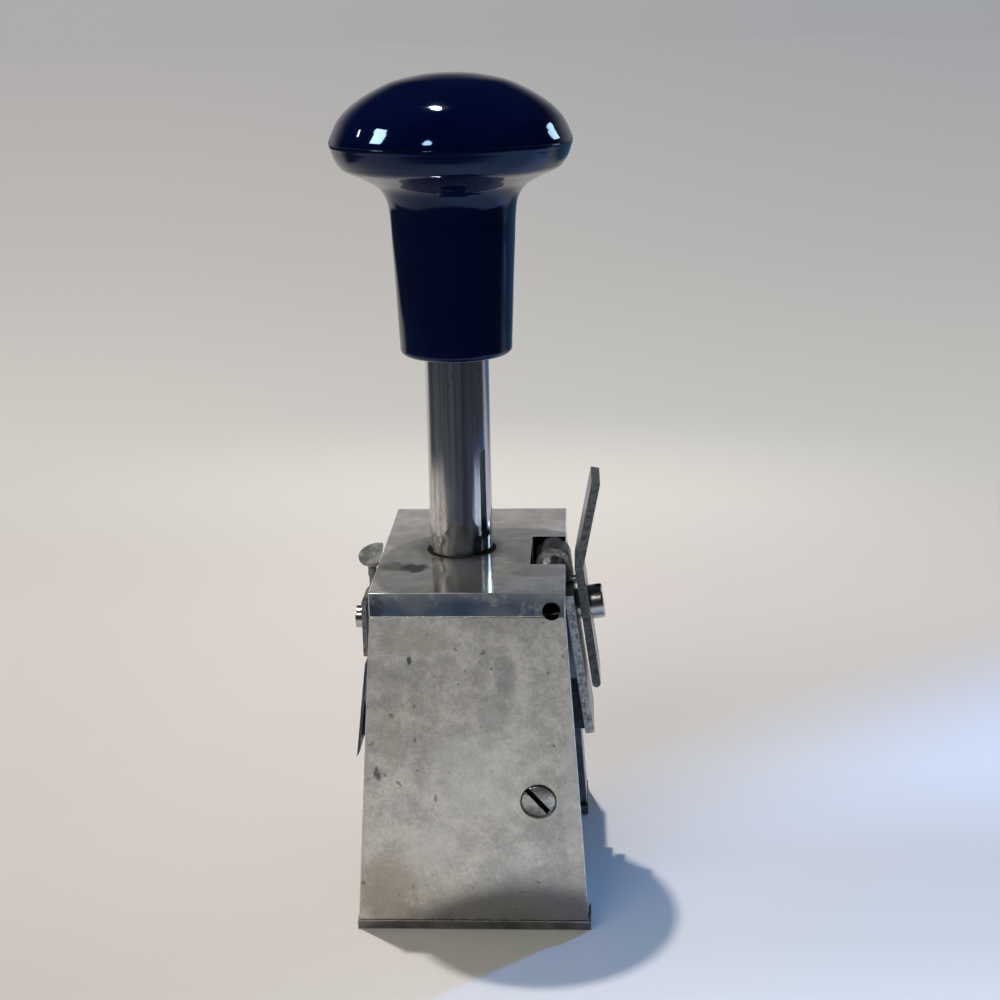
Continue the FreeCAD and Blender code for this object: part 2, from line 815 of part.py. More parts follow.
def feed_arms():
    arms = []
    eye = polar(feed_bar_orbit_radius, feed_bar_angle)
    for side in (-1, 1):
        hub = rod(feed_hub_radius, feed_arm_thickness, V(0, 0, axle_height), X_AXIS)
        end = rod(feed_eye_radius, feed_arm_thickness, eye, X_AXIS)
        along = (eye - V(0, 0, axle_height)).normalize()
        across = along.cross(X_AXIS)
        hub_side, eye_side = across * feed_hub_radius, across * feed_eye_radius
        web = prism([V(0, 0, axle_height) + hub_side, eye + eye_side, eye - eye_side,
                     V(0, 0, axle_height) - hub_side], X_AXIS * feed_arm_thickness)
        arm = join([hub, web, end])
        arm = arm.cut(rod(axle_radius + running_gap, feed_arm_thickness + 2 * overrun,
                          V(-overrun, 0, axle_height), X_AXIS))
        arm = arm.cut(rod(feed_bar_radius, feed_arm_thickness + 2 * overrun, eye - X_AXIS * overrun, X_AXIS))
        near = carriage_inner - feed_arm_gap - feed_arm_thickness
        arm.translate(V(near if side > 0 else -near - feed_arm_thickness, 0, 0))
        arms.append(arm)
    return arms


def feed_bar():
    half = carriage_inner - feed_arm_gap
    middle = polar(feed_bar_orbit_radius, feed_bar_angle)
    return rod(feed_bar_radius, 2 * half, middle - X_AXIS * half, X_AXIS)


def feed_pawls():
    """One pawl on the bar for each wheel, reaching down beside its figures to the ratchet."""
    pawls = []
    eye = polar(feed_bar_orbit_radius, feed_bar_angle)
    along = (V(0, 0, axle_height) - eye).normalize()
    across = along.cross(X_AXIS) * (feed_pawl_depth / 2)
    tip = ratchet_radius + feed_pawl_tip_gap
    reach = feed_bar_orbit_radius - tip
    over, under = feed_pawl_tip_shares
    for i in range(wheel_count):
        x = wheel_left(i) + wheel_disc_width + (wheel_width - wheel_disc_width - feed_pawl_width) / 2
        root = eye + X_AXIS * x
        blade = prism([root + across, root + across * over + along * reach,
                       root - across * under + along * reach, root - across], X_AXIS * feed_pawl_width)
        ring = rod(feed_eye_radius, feed_pawl_width, root, X_AXIS)
        hole = rod(feed_bar_radius, feed_pawl_width + 2 * overrun, root - X_AXIS * overrun, X_AXIS)
        pawls.append(join([blade, ring]).cut(hole))
    return pawls


# Ink pad carrier: two arms on the axle, a tray and the felt pad
def pad_arm(side):
    thick = X_AXIS * pad_arm_thickness
    hub = rod(pad_hub_radius, pad_arm_thickness, V(0, 0, axle_height), X_AXIS)
    lobe = rod(cam_lobe_radius, pad_arm_thickness, polar(cam_pin_orbit_radius, cam_pin_angle), X_AXIS)
    top, low = axle_height - pad_top_drop, axle_height - tray_low_drop
    shield = prism([V(0, -pad_hub_radius, axle_height), V(0, -tray_half_depth, top),
                    V(0, -tray_half_depth, low), V(0, tray_half_depth, low),
                    V(0, tray_half_depth, top), V(0, pad_hub_radius, axle_height)], thick)
    arm = join([hub, lobe, shield])
    arm = arm.cut(rod(axle_radius + running_gap, pad_arm_thickness + 2 * overrun,
                      V(-overrun, 0, axle_height), X_AXIS))
    arm.translate(V(pad_arm_inner if side > 0 else -pad_arm_outer, 0, 0))
    return arm


def pad_tray():
    low = axle_height - tray_low_drop
    tray = box(-pad_arm_inner, pad_arm_inner, -tray_half_depth, tray_half_depth, low,
               axle_height - pad_low_drop + pad_thickness / 2)
    hollow = box(-pad_arm_inner - overrun, pad_arm_inner + overrun, -pad_half_depth - screw_gap,
                 pad_half_depth + screw_gap, axle_height - pad_low_drop, axle_height)
    return tray.cut(hollow)


def ink_pad():
    return box(-pad_half_width, pad_half_width, -pad_half_depth, pad_half_depth,
               axle_height - pad_low_drop, axle_height - pad_top_drop)


def cam_pins():
    """The pins on the arms that run in the cheeks' curved slots."""
    centre = polar(cam_pin_orbit_radius, cam_pin_angle)
    length = cheek_outer - pad_arm_outer
    return [rod(cam_pin_radius, length, centre + X_AXIS * side * pad_arm_outer, X_AXIS * side)
            for side in (-1, 1)]


# Right lever. Its outlines are drawn in a frame of its own: drop runs down the arm
# from the pivot, out runs away from the machine.
def right_point(drop, out, tilt=right_tilt):
    a = math.radians(tilt)
    return V(right_pivot_x + out * math.cos(a) + drop * math.sin(a), 0,
             right_pivot_z + out * math.sin(a) - drop * math.cos(a))


def right_outward():
    a = math.radians(right_tilt)
    return V(math.cos(a), 0, math.sin(a))


def right_lever_span():
    """The lever's front and rear sides, just inside the notch."""
    return -notch_front + strap_side_gap, notch_rear - strap_side_gap


def right_strap():
    front, rear = right_lever_span()
    inner, outer = right_bore_radius, right_knuckle_radius
    arm = prism([right_point(knuckle_start(), inner), right_point(knuckle_start(), outer),
                 right_point(strap_length, outer), right_point(strap_length, inner)], V(0, rear - front, 0))
    arm.translate(V(0, front, 0))
    neck = prism([right_point(0, inner), right_point(0, outer), right_point(knuckle_start(), outer),
                  right_point(knuckle_start(), inner)], V(0, rear + knuckle_front, 0))
    neck.translate(V(0, -knuckle_front, 0))
    knuckle = rod(outer, rear + knuckle_front, V(right_pivot_x, -knuckle_front, right_pivot_z), Y_AXIS)
    bore = rod(inner, rear - front + 2 * overrun, V(right_pivot_x, front - overrun, right_pivot_z), Y_AXIS)
    holes = [rod(big_screw_shank + screw_gap, strap_thickness + 2 * overrun,
                 lever_place(big_screw_drop, inner - overrun), right_outward()),
             rod(dowel_radius, strap_thickness + 2 * overrun,
                 lever_place(dowel_drop, inner - overrun), right_outward())]
    return cut(join([arm, neck, knuckle]), [bore] + holes)


def knuckle_start():
    """How far below the pivot the strap has its full width."""
    return right_knuckle_radius


def lever_place(drop, out):
    """A place on the lever's middle line."""
    front, rear = right_lever_span()
    return right_point(drop, out) + V(0, (front + rear) / 2, 0)


def finger_lever():
    """The bent finger plate outside the strap, with a rounded lower end."""
    thick = finger_thickness
    end = finger_low - thick / 2
    kink_in = right_point(-finger_bend_rise, finger_inner)
    kink_out = right_point(-finger_bend_rise, finger_outer)
    lean = V(math.sin(math.radians(finger_tab_tilt)), 0, math.cos(math.radians(finger_tab_tilt)))
    across = V(lean.z, 0, -lean.x) * thick
    tip = kink_in + lean * finger_tab_length
    outline = [right_point(end, finger_inner), kink_in, tip, tip + across, kink_out,
               right_point(end, finger_outer)]
    end_round = rod(thick / 2, finger_width, right_point(end, finger_inner + thick / 2), Y_AXIS)
    plate = join([prism(outline, V(0, finger_width, 0)), end_round])
    plate.translate(V(0, -finger_front, 0))
    return cut(plate, [rod(big_screw_shank + screw_gap, thick + 2 * overrun,
                           lever_place(big_screw_drop, finger_inner - overrun), right_outward()),
                       rod(dowel_radius, thick + 2 * overrun,
                           lever_place(dowel_drop, finger_inner - overrun), right_outward())])


def lever_washer():
    ring = rod(washer_radius, washer_thickness, lever_place(big_screw_drop, right_knuckle_radius),
               right_outward())
    return ring.cut(rod(big_screw_shank + screw_gap, washer_thickness + 2 * overrun,
                        lever_place(big_screw_drop, right_knuckle_radius - overrun), right_outward()))


def lever_screw():
    grip = finger_outer - right_bore_radius
    return slotted_screw(big_screw_radius, big_screw_head, big_screw_shank, grip, big_screw_slot,
                         big_screw_head / 2, lever_place(big_screw_drop, finger_outer), right_outward(), 0)


def lever_dowel():
    """The small pin that keeps the finger plate square on the strap."""
    return rod(dowel_radius, finger_outer - right_bore_radius, lever_place(dowel_drop, right_bore_radius),
               right_outward())


def lever_lug():
    """The block at the strap's foot that stops against the right cheek."""
    front, rear = right_lever_span()
    stop = cheek_outer + air_gap
    top = right_point(lug_top_drop, right_bore_radius)
    low = right_point(lug_low_drop, right_bore_radius)
    block = prism([top, low, V(stop, 0, low.z), V(stop, 0, top.z)], V(0, lug_width, 0))
    block.translate(V(0, (front + rear - lug_width) / 2, 0))
    return block


def right_pivot_pin():
    return rod(right_pin_radius, right_pin_front + right_pin_rear,
               V(right_pivot_x, -right_pin_front, right_pivot_z), Y_AXIS)


def lever_spring(name):
    """The small torsion coil round the pin, between the notch's front wall and the knuckle."""
    start = -notch_front + lever_spring_wire_radius + screw_gap
    return coil(name, V(right_pivot_x, start, right_pivot_z), Y_AXIS, -X_AXIS,
                lever_spring_mean_radius, lever_spring_wire_radius, lever_spring_pitch, lever_spring_turns)


# Left lever, on a pin in an eye of the head
def left_bracket():
    """A leaf on the head's left side that reaches down and out to an eye."""
    half = eye_width / 2
    side = -half_width(head_bottom)
    top, leaf_top = left_pivot_z + eye_radius, left_pivot_z + eye_leaf_rise
    low = left_pivot_z - eye_radius
    block = prism([V(-half_width(leaf_top), 0, leaf_top), V(side - eye_leaf, 0, leaf_top),
                   V(side - eye_leaf, 0, top), V(left_pivot_x, 0, top), V(left_pivot_x, 0, low),
                   V(side, 0, low), V(side, 0, head_bottom)], V(0, eye_width, 0))
    tip = rod(eye_radius, eye_width, V(left_pivot_x, 0, left_pivot_z), Y_AXIS)
    hole = rod(left_pin_radius, eye_width + 2 * overrun, V(left_pivot_x, -overrun, left_pivot_z), Y_AXIS)
    eye = join([block, tip]).cut(hole)
    eye.translate(V(0, -half, 0))
    return eye


def left_pivot_pin():
    half = left_lever_width / 2 + eye_side_gap
    return rod(left_pin_radius, 2 * half, V(left_pivot_x, -half, left_pivot_z), Y_AXIS)


def left_arm():
    """A blade rolled round the pin at its top, with a jog and a window for the eye."""
    outer = left_pivot_x - left_knuckle_radius
    inner = outer + left_arm_thickness
    kink = left_pivot_z - left_kink_drop
    jog = kink - left_jog_drop
    foot = left_pivot_z - left_arm_drop
    sheet = prism([V(inner, 0, left_pivot_z), V(outer, 0, left_pivot_z), V(outer, 0, kink),
                   V(outer - left_jog_run, 0, jog), V(outer - left_arm_run, 0, foot),
                   V(inner - left_arm_run, 0, foot + left_arm_cut), V(inner - left_jog_run, 0, jog),
                   V(inner, 0, kink)], V(0, left_lever_width, 0))
    knuckle = rod(left_knuckle_radius, left_lever_width, V(left_pivot_x, 0, left_pivot_z), Y_AXIS)
    bore = rod(left_pin_radius + running_gap, left_lever_width + 2 * overrun,
               V(left_pivot_x, -overrun, left_pivot_z), Y_AXIS)
    arm = join([sheet, knuckle]).cut(bore)
    arm.translate(V(0, -left_lever_width / 2, 0))
    side = eye_width / 2 + eye_side_gap
    window = box(outer - overrun, -half_top, -side, side, left_pivot_z - left_knuckle_radius,
                 left_pivot_z + left_knuckle_radius + overrun)
    hole = rod(left_screw_shank + screw_gap, left_knuckle_radius + overrun,
               V(outer - overrun, 0, left_pivot_z - left_screw_drop), X_AXIS)
    return cut(arm, [window, hole])


def thumb_plate():
    """The plate under the screw, bent over the knuckle, with the neck that carries the disc."""
    inner = left_pivot_x - left_knuckle_radius
    outer = inner - thumb_plate_thickness
    half = thumb_plate_width / 2
    sheet = box(outer, inner, -half, half, left_pivot_z - left_kink_drop, left_pivot_z)
    place = V(left_pivot_x, -half, left_pivot_z)
    bend = rod(left_knuckle_radius + thumb_plate_thickness, thumb_plate_width, place, Y_AXIS)
    bend = bend.cut(rod(left_knuckle_radius, thumb_plate_width, place, Y_AXIS))
    neck_x = left_pivot_x - thumb_neck_shift
    bend = bend.common(box(outer - overrun, neck_x + thumb_neck_radius, -half, half, left_pivot_z,
                           left_pivot_z + thumb_collar_rise))
    foot = left_pivot_z + left_knuckle_radius + thumb_plate_thickness / 2
    top = thumb_middle().z - thumb_disc_thickness / 4
    collar_low = left_pivot_z + thumb_collar_rise
    neck = join([rod(thumb_neck_radius, top - foot, V(neck_x, 0, foot), Z_AXIS),
                 rod(thumb_collar_radius, top - collar_low, V(neck_x, 0, collar_low), Z_AXIS)])
    hole = rod(left_screw_shank + screw_gap, left_knuckle_radius + overrun,
               V(outer - overrun, 0, left_pivot_z - left_screw_drop), X_AXIS)
    return cut(join([sheet, bend, neck]), [disc_blank(), hole])


def thumb_normal():
    """Square to the disc: tipped to the left and to the front."""
    turn = FreeCAD.Rotation(X_AXIS, thumb_disc_lean).multiply(FreeCAD.Rotation(Y_AXIS, -thumb_disc_tilt))
    return turn.multVec(Z_AXIS)


def thumb_middle():
    return V(left_pivot_x + thumb_disc_shift, 0, left_pivot_z + thumb_disc_rise)


def disc_blank():
    """The thumb disc before its flat is cut."""
    return rod(thumb_disc_radius, thumb_disc_thickness,
               thumb_middle() - thumb_normal() * (thumb_disc_thickness / 2), thumb_normal())


def thumb_disc():
    """A round pad with a flat towards the head's side."""
    disc = disc_blank()
    disc = disc.makeFillet(thumb_disc_thickness / 4, [disc.Edges[0], disc.Edges[2]])
    reach = thumb_disc_radius + overrun
    beyond = box(-thumb_disc_flat, -thumb_disc_flat + reach, -reach, reach,
                 thumb_middle().z - reach, thumb_middle().z + reach)
    return disc.cut(beyond)


def left_lever_screw():
    face = left_pivot_x - left_knuckle_radius - thumb_plate_thickness
    grip = left_arm_thickness + thumb_plate_thickness
    return slotted_screw(left_screw_radius, left_screw_head, left_screw_shank, grip, small_screw_slot,
                         small_screw_slot_depth, V(face, 0, left_pivot_z - left_screw_drop), -X_AXIS, 0)


def left_lever_block():
    """The stop block inside the left arm's foot."""
    def arm_inner(drop):
        start = left_kink_drop + left_jog_drop
        share = (drop - start) / (left_arm_drop - left_arm_cut - start)
        lean = left_jog_run + (left_arm_run - left_jog_run) * share
        return left_pivot_x - left_knuckle_radius + left_arm_thickness - lean
    top, low = left_block_top_drop, left_block_low_drop
    block = prism([V(arm_inner(top), 0, left_pivot_z - top), V(arm_inner(low), 0, left_pivot_z - low),
                   V(-left_block_reach, 0, left_pivot_z - low), V(-left_block_reach, 0, left_pivot_z - top)],
                  V(0, left_block_width, 0))
    block.translate(V(0, -left_block_width / 2, 0))
    return block


def main():
    save("top_head", top_head())
    save("front_plate", front_plate())
    save("rear_plate", rear_plate())
    save("base_plate", base_plate())
    for name, side in (("left", -1), ("right", 1)):
        save("rear_leg_" + name, rear_leg(side))
        save("cheek_" + name, cheek(side))
        save("carriage_plate_" + name, carriage_plate(side))
        save("pad_arm_" + name, pad_arm(side))
        spring = "return_spring_" + name
        save(spring, return_spring(spring, side * rod_spacing / 2))
    save("front_bracket", front_bracket())
    save("front_screw", front_screw())
    save("rear_screws", rear_screws())
    save("base_screws", base_screws())
    save("guide_rods", guide_rods())
    save("stem", stem())
    save("knob", knob())
    save("knob_cap", knob_cap())
    save("carriage_bridge", carriage_bridge())
    save("buffer_washer", buffer_washer())
    save("carriage_screws", carriage_screws())
    save("wheel_axle", wheel_axle())
    save("detent_rod", detent_rod())
    save("detent_springs", detent_springs())
    for i in range(wheel_count):
        save("number_wheel_%d" % (i + 1), number_wheel(i))
    save("feed_arms", feed_arms())
    save("feed_bar", feed_bar())
    save("feed_pawls", feed_pawls())
    save("pad_tray", pad_tray())
    save("ink_pad", ink_pad())
    save("cam_pins", cam_pins())
    save("right_strap", right_strap())
    save("finger_lever", finger_lever())
    save("lever_washer", lever_washer())
    save("lever_screw", lever_screw())
    save("lever_dowel", lever_dowel())
    save("lever_lug", lever_lug())
    save("right_pivot_pin", right_pivot_pin())
    save("lever_spring", lever_spring("lever_spring"))
    save("left_bracket", left_bracket())
    save("left_pivot_pin", left_pivot_pin())
    save("left_arm", left_arm())
    save("thumb_plate", thumb_plate())
    save("thumb_disc", thumb_disc())
    save("left_lever_screw", left_lever_screw())
    save("left_lever_block", left_lever_block())


main()
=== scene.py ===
import json
import math

import bmesh
import bpy
from mathutils import Matrix, Quaternion, Vector


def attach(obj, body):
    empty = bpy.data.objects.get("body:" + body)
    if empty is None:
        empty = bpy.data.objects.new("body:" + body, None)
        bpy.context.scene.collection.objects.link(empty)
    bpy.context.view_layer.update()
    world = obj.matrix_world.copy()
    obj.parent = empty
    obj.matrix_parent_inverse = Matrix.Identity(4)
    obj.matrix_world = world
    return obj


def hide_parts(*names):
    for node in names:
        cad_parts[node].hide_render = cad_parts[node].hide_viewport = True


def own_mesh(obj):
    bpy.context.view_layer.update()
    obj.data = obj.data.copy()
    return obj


# Looks of a hand numbering machine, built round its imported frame.
# Everything is in metres, in the row frame: X to the right, Y to the rear, Z up.
# MM turns a length in millimetres into metres.

MM = 0.001
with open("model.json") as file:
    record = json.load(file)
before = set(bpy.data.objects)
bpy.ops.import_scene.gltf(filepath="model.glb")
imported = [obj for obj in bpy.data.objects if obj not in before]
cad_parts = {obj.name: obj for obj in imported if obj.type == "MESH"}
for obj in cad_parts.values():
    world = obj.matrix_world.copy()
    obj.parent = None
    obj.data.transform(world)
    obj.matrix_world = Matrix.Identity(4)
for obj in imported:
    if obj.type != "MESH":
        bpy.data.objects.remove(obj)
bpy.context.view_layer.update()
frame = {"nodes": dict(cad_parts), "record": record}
cad_nodes = frame["nodes"]
body_of = {name: body for body, names in frame["record"]["behaviour"]["bodies"].items() for name in names}


# Places and lengths that several pieces share, in millimetres
STEM_X = -2.7
STEM_RADIUS = 6.5
STEM_TOP = 139.9
AXLE_Z = 40.0
WHEEL_BORE = 2.05
TOP_Z = 71.0
RIGHT_PIN_X = 16.3
RIGHT_PIN_Z = 67.25
SEAM_Z = 153.8

# Cleaning of the frame's meshes: corners nearer than WELD metres are one corner, faces within
# FLAT_DEGREES are one face, and edges longer than LONG_EDGE millimetres can be rounded first
WELD = 2e-6
FLAT_DEGREES = 0.6
LONG_EDGE = 2.0
# A face looks along a direction from this cosine on, and is in a hollow from this depth in metres on
ALONG = 0.86
HOLLOW_DEPTH = 0.0002


class Nodes:
    """A node tree, with short ways to add nodes to it and link them."""

    def __init__(self, tree):
        self.tree = tree

    def plug(self, socket, value):
        """Links another node's output to a socket, or sets the socket to a plain value."""
        if isinstance(value, bpy.types.NodeSocket):
            self.tree.links.new(value, socket)
        else:
            socket.default_value = value

    def node(self, kind, settings=None, **inputs):
        """A new node; an input's name is the socket's name, or i and its number."""
        made = self.tree.nodes.new(kind)
        for name, value in (settings or {}).items():
            setattr(made, name, value)
        for name, value in inputs.items():
            numbered = name[0] == "i" and name[1:].isdigit()
            self.plug(made.inputs[int(name[1:]) if numbered else name], value)
        return made

    def math(self, operation, a, b=0.0, clamp=False):
        return self.node("ShaderNodeMath", {"operation": operation, "use_clamp": clamp}, i0=a, i1=b).outputs[0]

    def ramp(self, value, low, high, start=0.0, end=1.0):
        """The value, stretched so that low gives start and high gives end, and held there."""
        made = self.node("ShaderNodeMapRange", {"interpolation_type": "SMOOTHSTEP"}, Value=value)
        for name, number in (("From Min", low), ("From Max", high), ("To Min", start), ("To Max", end)):
            made.inputs[name].default_value = number
        return made.outputs["Result"]

    def blend(self, share, a, b, mode="MIX"):
        made = self.node("ShaderNodeMix", {"data_type": "RGBA", "blend_type": mode}, Factor=share)
        for socket, value in zip([s for s in made.inputs if s.type == "RGBA"], (a, b)):
            self.plug(socket, value)
        return [s for s in made.outputs if s.type == "RGBA"][0]


class Look(Nodes):
    """One procedural material: a Principled shader and the nodes that feed it."""

    def __init__(self, name, **values):
        self.material = bpy.data.materials.new(name)
        self.material.use_nodes = True
        super().__init__(self.material.node_tree)
        self.shader = self.tree.nodes["Principled BSDF"]
        for socket, value in values.items():
            self.shader.inputs[socket.replace("_", " ")].default_value = value
        self.place = self.tree.nodes.new("ShaderNodeTexCoord").outputs["Object"]

    def noise(self, scale, detail=3.0, roughness=0.55, stretch=(1, 1, 1), shift=(0, 0, 0)):
        """A noise of one value; scale is in cells to the metre, stretch multiplies it along an axis."""
        mapping = self.node("ShaderNodeMapping", Vector=self.place, Scale=stretch, Location=shift)
        made = self.node("ShaderNodeTexNoise", Vector=mapping.outputs[0], Scale=scale, Detail=detail,
                         Roughness=roughness)
        return made.outputs["Fac"]

    def shade(self, colour, value):
        """The colour, made lighter or darker by a value."""
        grey = self.node("ShaderNodeCombineXYZ", X=value, Y=value, Z=value)
        return self.blend(1.0, colour, grey.outputs[0], "MULTIPLY")

    def distance(self, centre):
        """How far a point lies from a place in millimetres, in metres."""
        away = self.node("ShaderNodeVectorMath", {"operation": "SUBTRACT"}, i0=self.place,
                         i1=tuple(c * MM for c in centre))
        return self.node("ShaderNodeVectorMath", {"operation": "LENGTH"}, i0=away.outputs[0]).outputs["Value"]

    def spot(self, centre, size):
        """A soft round spot: 1 at a place in millimetres, 0 at its edge; size is its half size each way."""
        scale = tuple(1 / (s * MM) for s in size)
        moved = self.node("ShaderNodeVectorMath", {"operation": "SUBTRACT"}, i0=self.place,
                          i1=tuple(c * MM for c in centre))
        scaled = self.node("ShaderNodeVectorMath", {"operation": "MULTIPLY"}, i0=moved.outputs[0], i1=scale)
        far = self.node("ShaderNodeVectorMath", {"operation": "LENGTH"}, i0=scaled.outputs[0])
        return self.ramp(far.outputs["Value"], 0.0, 1.0, 1.0, 0.0)

    def feed(self, socket, value):
        self.plug(self.shader.inputs[socket], value)

    def bump(self, height, strength, distance):
        before = self.shader.inputs["Normal"].links
        made = self.node("ShaderNodeBump", Strength=strength, Distance=distance, Height=height)
        if before:
            self.tree.links.new(before[0].from_socket, made.inputs["Normal"])
        self.tree.links.new(made.outputs[0], self.shader.inputs["Normal"])


def rgb(r, g, b):
    return (r, g, b, 1.0)


def worn_metal(name, base, stain, rough, spread, cell=60, stain_share=(0.45, 0.7), pits=0.6,
               grain=(1, 1, 1), grain_scale=900, grain_depth=0.15, metallic=1.0, seed=0.0):
    """Plated or ground steel: clouded stains, small dark pits, a fine grain and uneven gloss.
    cell and grain_scale are in cells to the metre; seed shifts the pattern."""
    look = Look(name, Metallic=metallic, IOR=2.2)
    shift = (seed, seed * 0.7, -seed)
    clouds = look.noise(cell, 9, 0.7, shift=shift)
    small = look.noise(cell * 6, 4, 0.6, shift=shift)
    fine = look.noise(grain_scale, 3, 0.65, stretch=grain, shift=shift)
    patch = look.ramp(clouds, *stain_share)
    colour = look.blend(patch, rgb(*base), rgb(*stain))
    speck = look.ramp(small, 0.35, 0.7, 0.86, 1.1)
    colour = look.shade(colour, speck)
    pit_noise = look.noise(cell * 11, 2, 0.5, shift=(seed + 3, 1.0, 2.0))
    pit = look.ramp(pit_noise, 0.74, 0.80, 0.0, pits)
    colour = look.blend(pit, colour, rgb(base[0] * 0.12, base[1] * 0.11, base[2] * 0.1))
    look.feed("Base Color", colour)
    gloss = look.math("MULTIPLY_ADD", clouds, spread)
    gloss.node.inputs[2].default_value = rough - spread / 2
    gloss = look.math("ADD", gloss, look.math("MULTIPLY", pit, 0.25))
    gloss = look.math("ADD", gloss, look.math("MULTIPLY", fine, spread * 0.4), clamp=True)
    look.feed("Roughness", gloss)
    look.bump(fine, grain_depth, 0.00004)
    look.bump(small, grain_depth * 0.6, 0.00008)
    return look


def aged_nickel(name):
    """Satin nickel gone dull with age: broad pale patches, mottling, fine speckle and cream stains."""
    look = Look(name, Metallic=0.35, IOR=1.8)
    broad = look.noise(34, 10, 0.72, shift=(0.31, 0.2, 0.12))
    mottle = look.noise(170, 12, 0.8, shift=(0.1, 0.5, 0.3))
    speckle = look.noise(1500, 3, 0.7)
    tint = look.noise(22, 3, 0.6, shift=(2.0, 0, 1.0))
    cream = look.noise(48, 5, 0.7, shift=(5.0, 1.0, 3.0))
    colour = look.blend(look.ramp(broad, 0.46, 0.56), rgb(0.53, 0.51, 0.46), rgb(0.66, 0.635, 0.58))
    colour = look.blend(look.ramp(cream, 0.56, 0.60, 0.0, 0.5), colour, rgb(0.72, 0.68, 0.60))
    colour = look.blend(look.ramp(tint, 0.45, 0.55), colour, rgb(0.985, 0.975, 0.95), "MULTIPLY")
    for grain, low, high, start, end in ((mottle, 0.40, 0.60, 0.80, 1.12), (speckle, 0.36, 0.62, 0.90, 1.06)):
        colour = look.shade(colour, look.ramp(grain, low, high, start, end))
    pit = look.ramp(look.noise(620, 2, 0.5, shift=(3, 1, 2)), 0.68, 0.74, 0.0, 0.6)
    look.feed("Base Color", look.blend(pit, colour, rgb(0.07, 0.065, 0.06)))
    gloss = look.ramp(mottle, 0.3, 0.7, 0.28, 0.42)
    look.feed("Roughness", look.math("ADD", gloss, look.math("MULTIPLY", pit, 0.3)))
    look.bump(speckle, 0.16, 0.00004)
    look.bump(mottle, 0.10, 0.00010)
    return look


def turned_metal(name, centre, radius):
    """A screw head turned slightly domed: its shading falls away towards the rim, with fine rings; a dark ring
    at its rim is painted shade of the gap round the head.
    """
    look = Look(name, Metallic=0.85, IOR=2.2)
    share = look.math("DIVIDE", look.distance(centre), radius * MM)
    grain = look.noise(900, 4, 0.65)
    colour = look.blend(look.ramp(grain, 0.35, 0.68), rgb(0.50, 0.485, 0.445), rgb(0.33, 0.32, 0.295))
    # The rim darkened: painted shade of the gap round the head.
    look.feed("Base Color", look.blend(look.ramp(share, 0.86, 1.0), colour, rgb(0.06, 0.058, 0.055)))
    look.feed("Roughness", look.ramp(grain, 0.3, 0.7, 0.22, 0.36))
    dome = look.math("SUBTRACT", 1.0, look.math("MULTIPLY", share, share))
    look.bump(dome, 1.0, 0.0009)
    look.bump(look.math("SINE", look.math("MULTIPLY", share, 70.0)), 0.25, 0.00003)
    look.bump(grain, 0.2, 0.00004)
    return look


def edge_metal(name, base, rough, metallic=1.0):
    """The bright, rubbed corners of a metal piece."""
    look = Look(name, Metallic=metallic, IOR=2.2)
    rub = look.noise(420, 4, 0.6)
    colour = look.blend(look.ramp(rub, 0.35, 0.7), rgb(*base), rgb(*(c * 0.55 for c in base)))
    look.feed("Base Color", colour)
    look.feed("Roughness", look.ramp(rub, 0.3, 0.75, rough, rough + 0.22))
    look.bump(look.noise(1800, 2, 0.6), 0.12, 0.00003)
    return look


def sheared_metal(name, dark, light):
    """The rough grey edge that a press leaves on thick sheet steel."""
    look = Look(name, Metallic=0.5, IOR=1.8)
    coarse = look.noise(1300, 5, 0.75, stretch=(1, 1, 0.7))
    tear = look.noise(350, 3, 0.6, stretch=(0.5, 1, 3.0))
    mixed = look.math("MULTIPLY", coarse, look.ramp(tear, 0.2, 0.7, 0.85, 1.12))
    look.feed("Base Color", look.blend(look.ramp(mixed, 0.32, 0.62), rgb(*dark), rgb(*light)))
    look.feed("Roughness", look.ramp(coarse, 0.3, 0.7, 0.62, 0.4))
    look.bump(mixed, 0.9, 0.00018)
    return look


# Marks on the pieces: stains, scuffs and smudges, and painted shade, reflections and highlights, as said at
# each; place and half size in millimetres, share and tone
# Front plate: stains, scuffs and small dark pits; the last entry, a pale bluish strip along the right edge, is
# a painted highlight.
PLATE_MARKS_AND_PAINTED_HIGHLIGHT = (((1.0, -29.5, 33), (15, 6, 16), 0.35, (0.80, 0.775, 0.72)),
               ((-8, -30, 18), (9, 6, 8), 0.4, (0.80, 0.78, 0.72)),
               ((-17, -30, 8), (9, 6, 14), 0.55, (0.36, 0.30, 0.23)),
               ((-10, -29, 61), (11, 6, 5), 0.45, (0.42, 0.38, 0.29)),
               ((-16, -29, 42), (4, 6, 9), 0.3, (0.42, 0.38, 0.30)),
               ((7.2, -29, 55), (3.4, 6, 8), 0.4, (0.24, 0.24, 0.25)),
               ((5.0, -29, 46), (5, 6, 5), 0.4, (0.30, 0.30, 0.32)),
               ((-11.4, -29, 57.5), (0.8, 6, 2.0), 0.9, (0.06, 0.058, 0.055)),
               ((-18.4, -30, 33.7), (1.3, 6, 2.6), 0.9, (0.07, 0.068, 0.065)),
               ((-7, -30, 28.5), (0.6, 6, 1.4), 0.7, (0.12, 0.117, 0.11)),
               ((13, -31, 11), (8, 6, 5), 0.3, (0.36, 0.36, 0.37)),
               ((20, -30, 30), (3, 6, 30), 0.25, (0.75, 0.76, 0.78)))
# Painted reflection of the floor's shadow: the plate darkened along its bottom, with a smooth border.
PLATE_PAINTED_REFLECTED_SHADOW = ((11, -33, -2), (38, 14, 18.5), 0.88, (0.125, 0.12, 0.112))
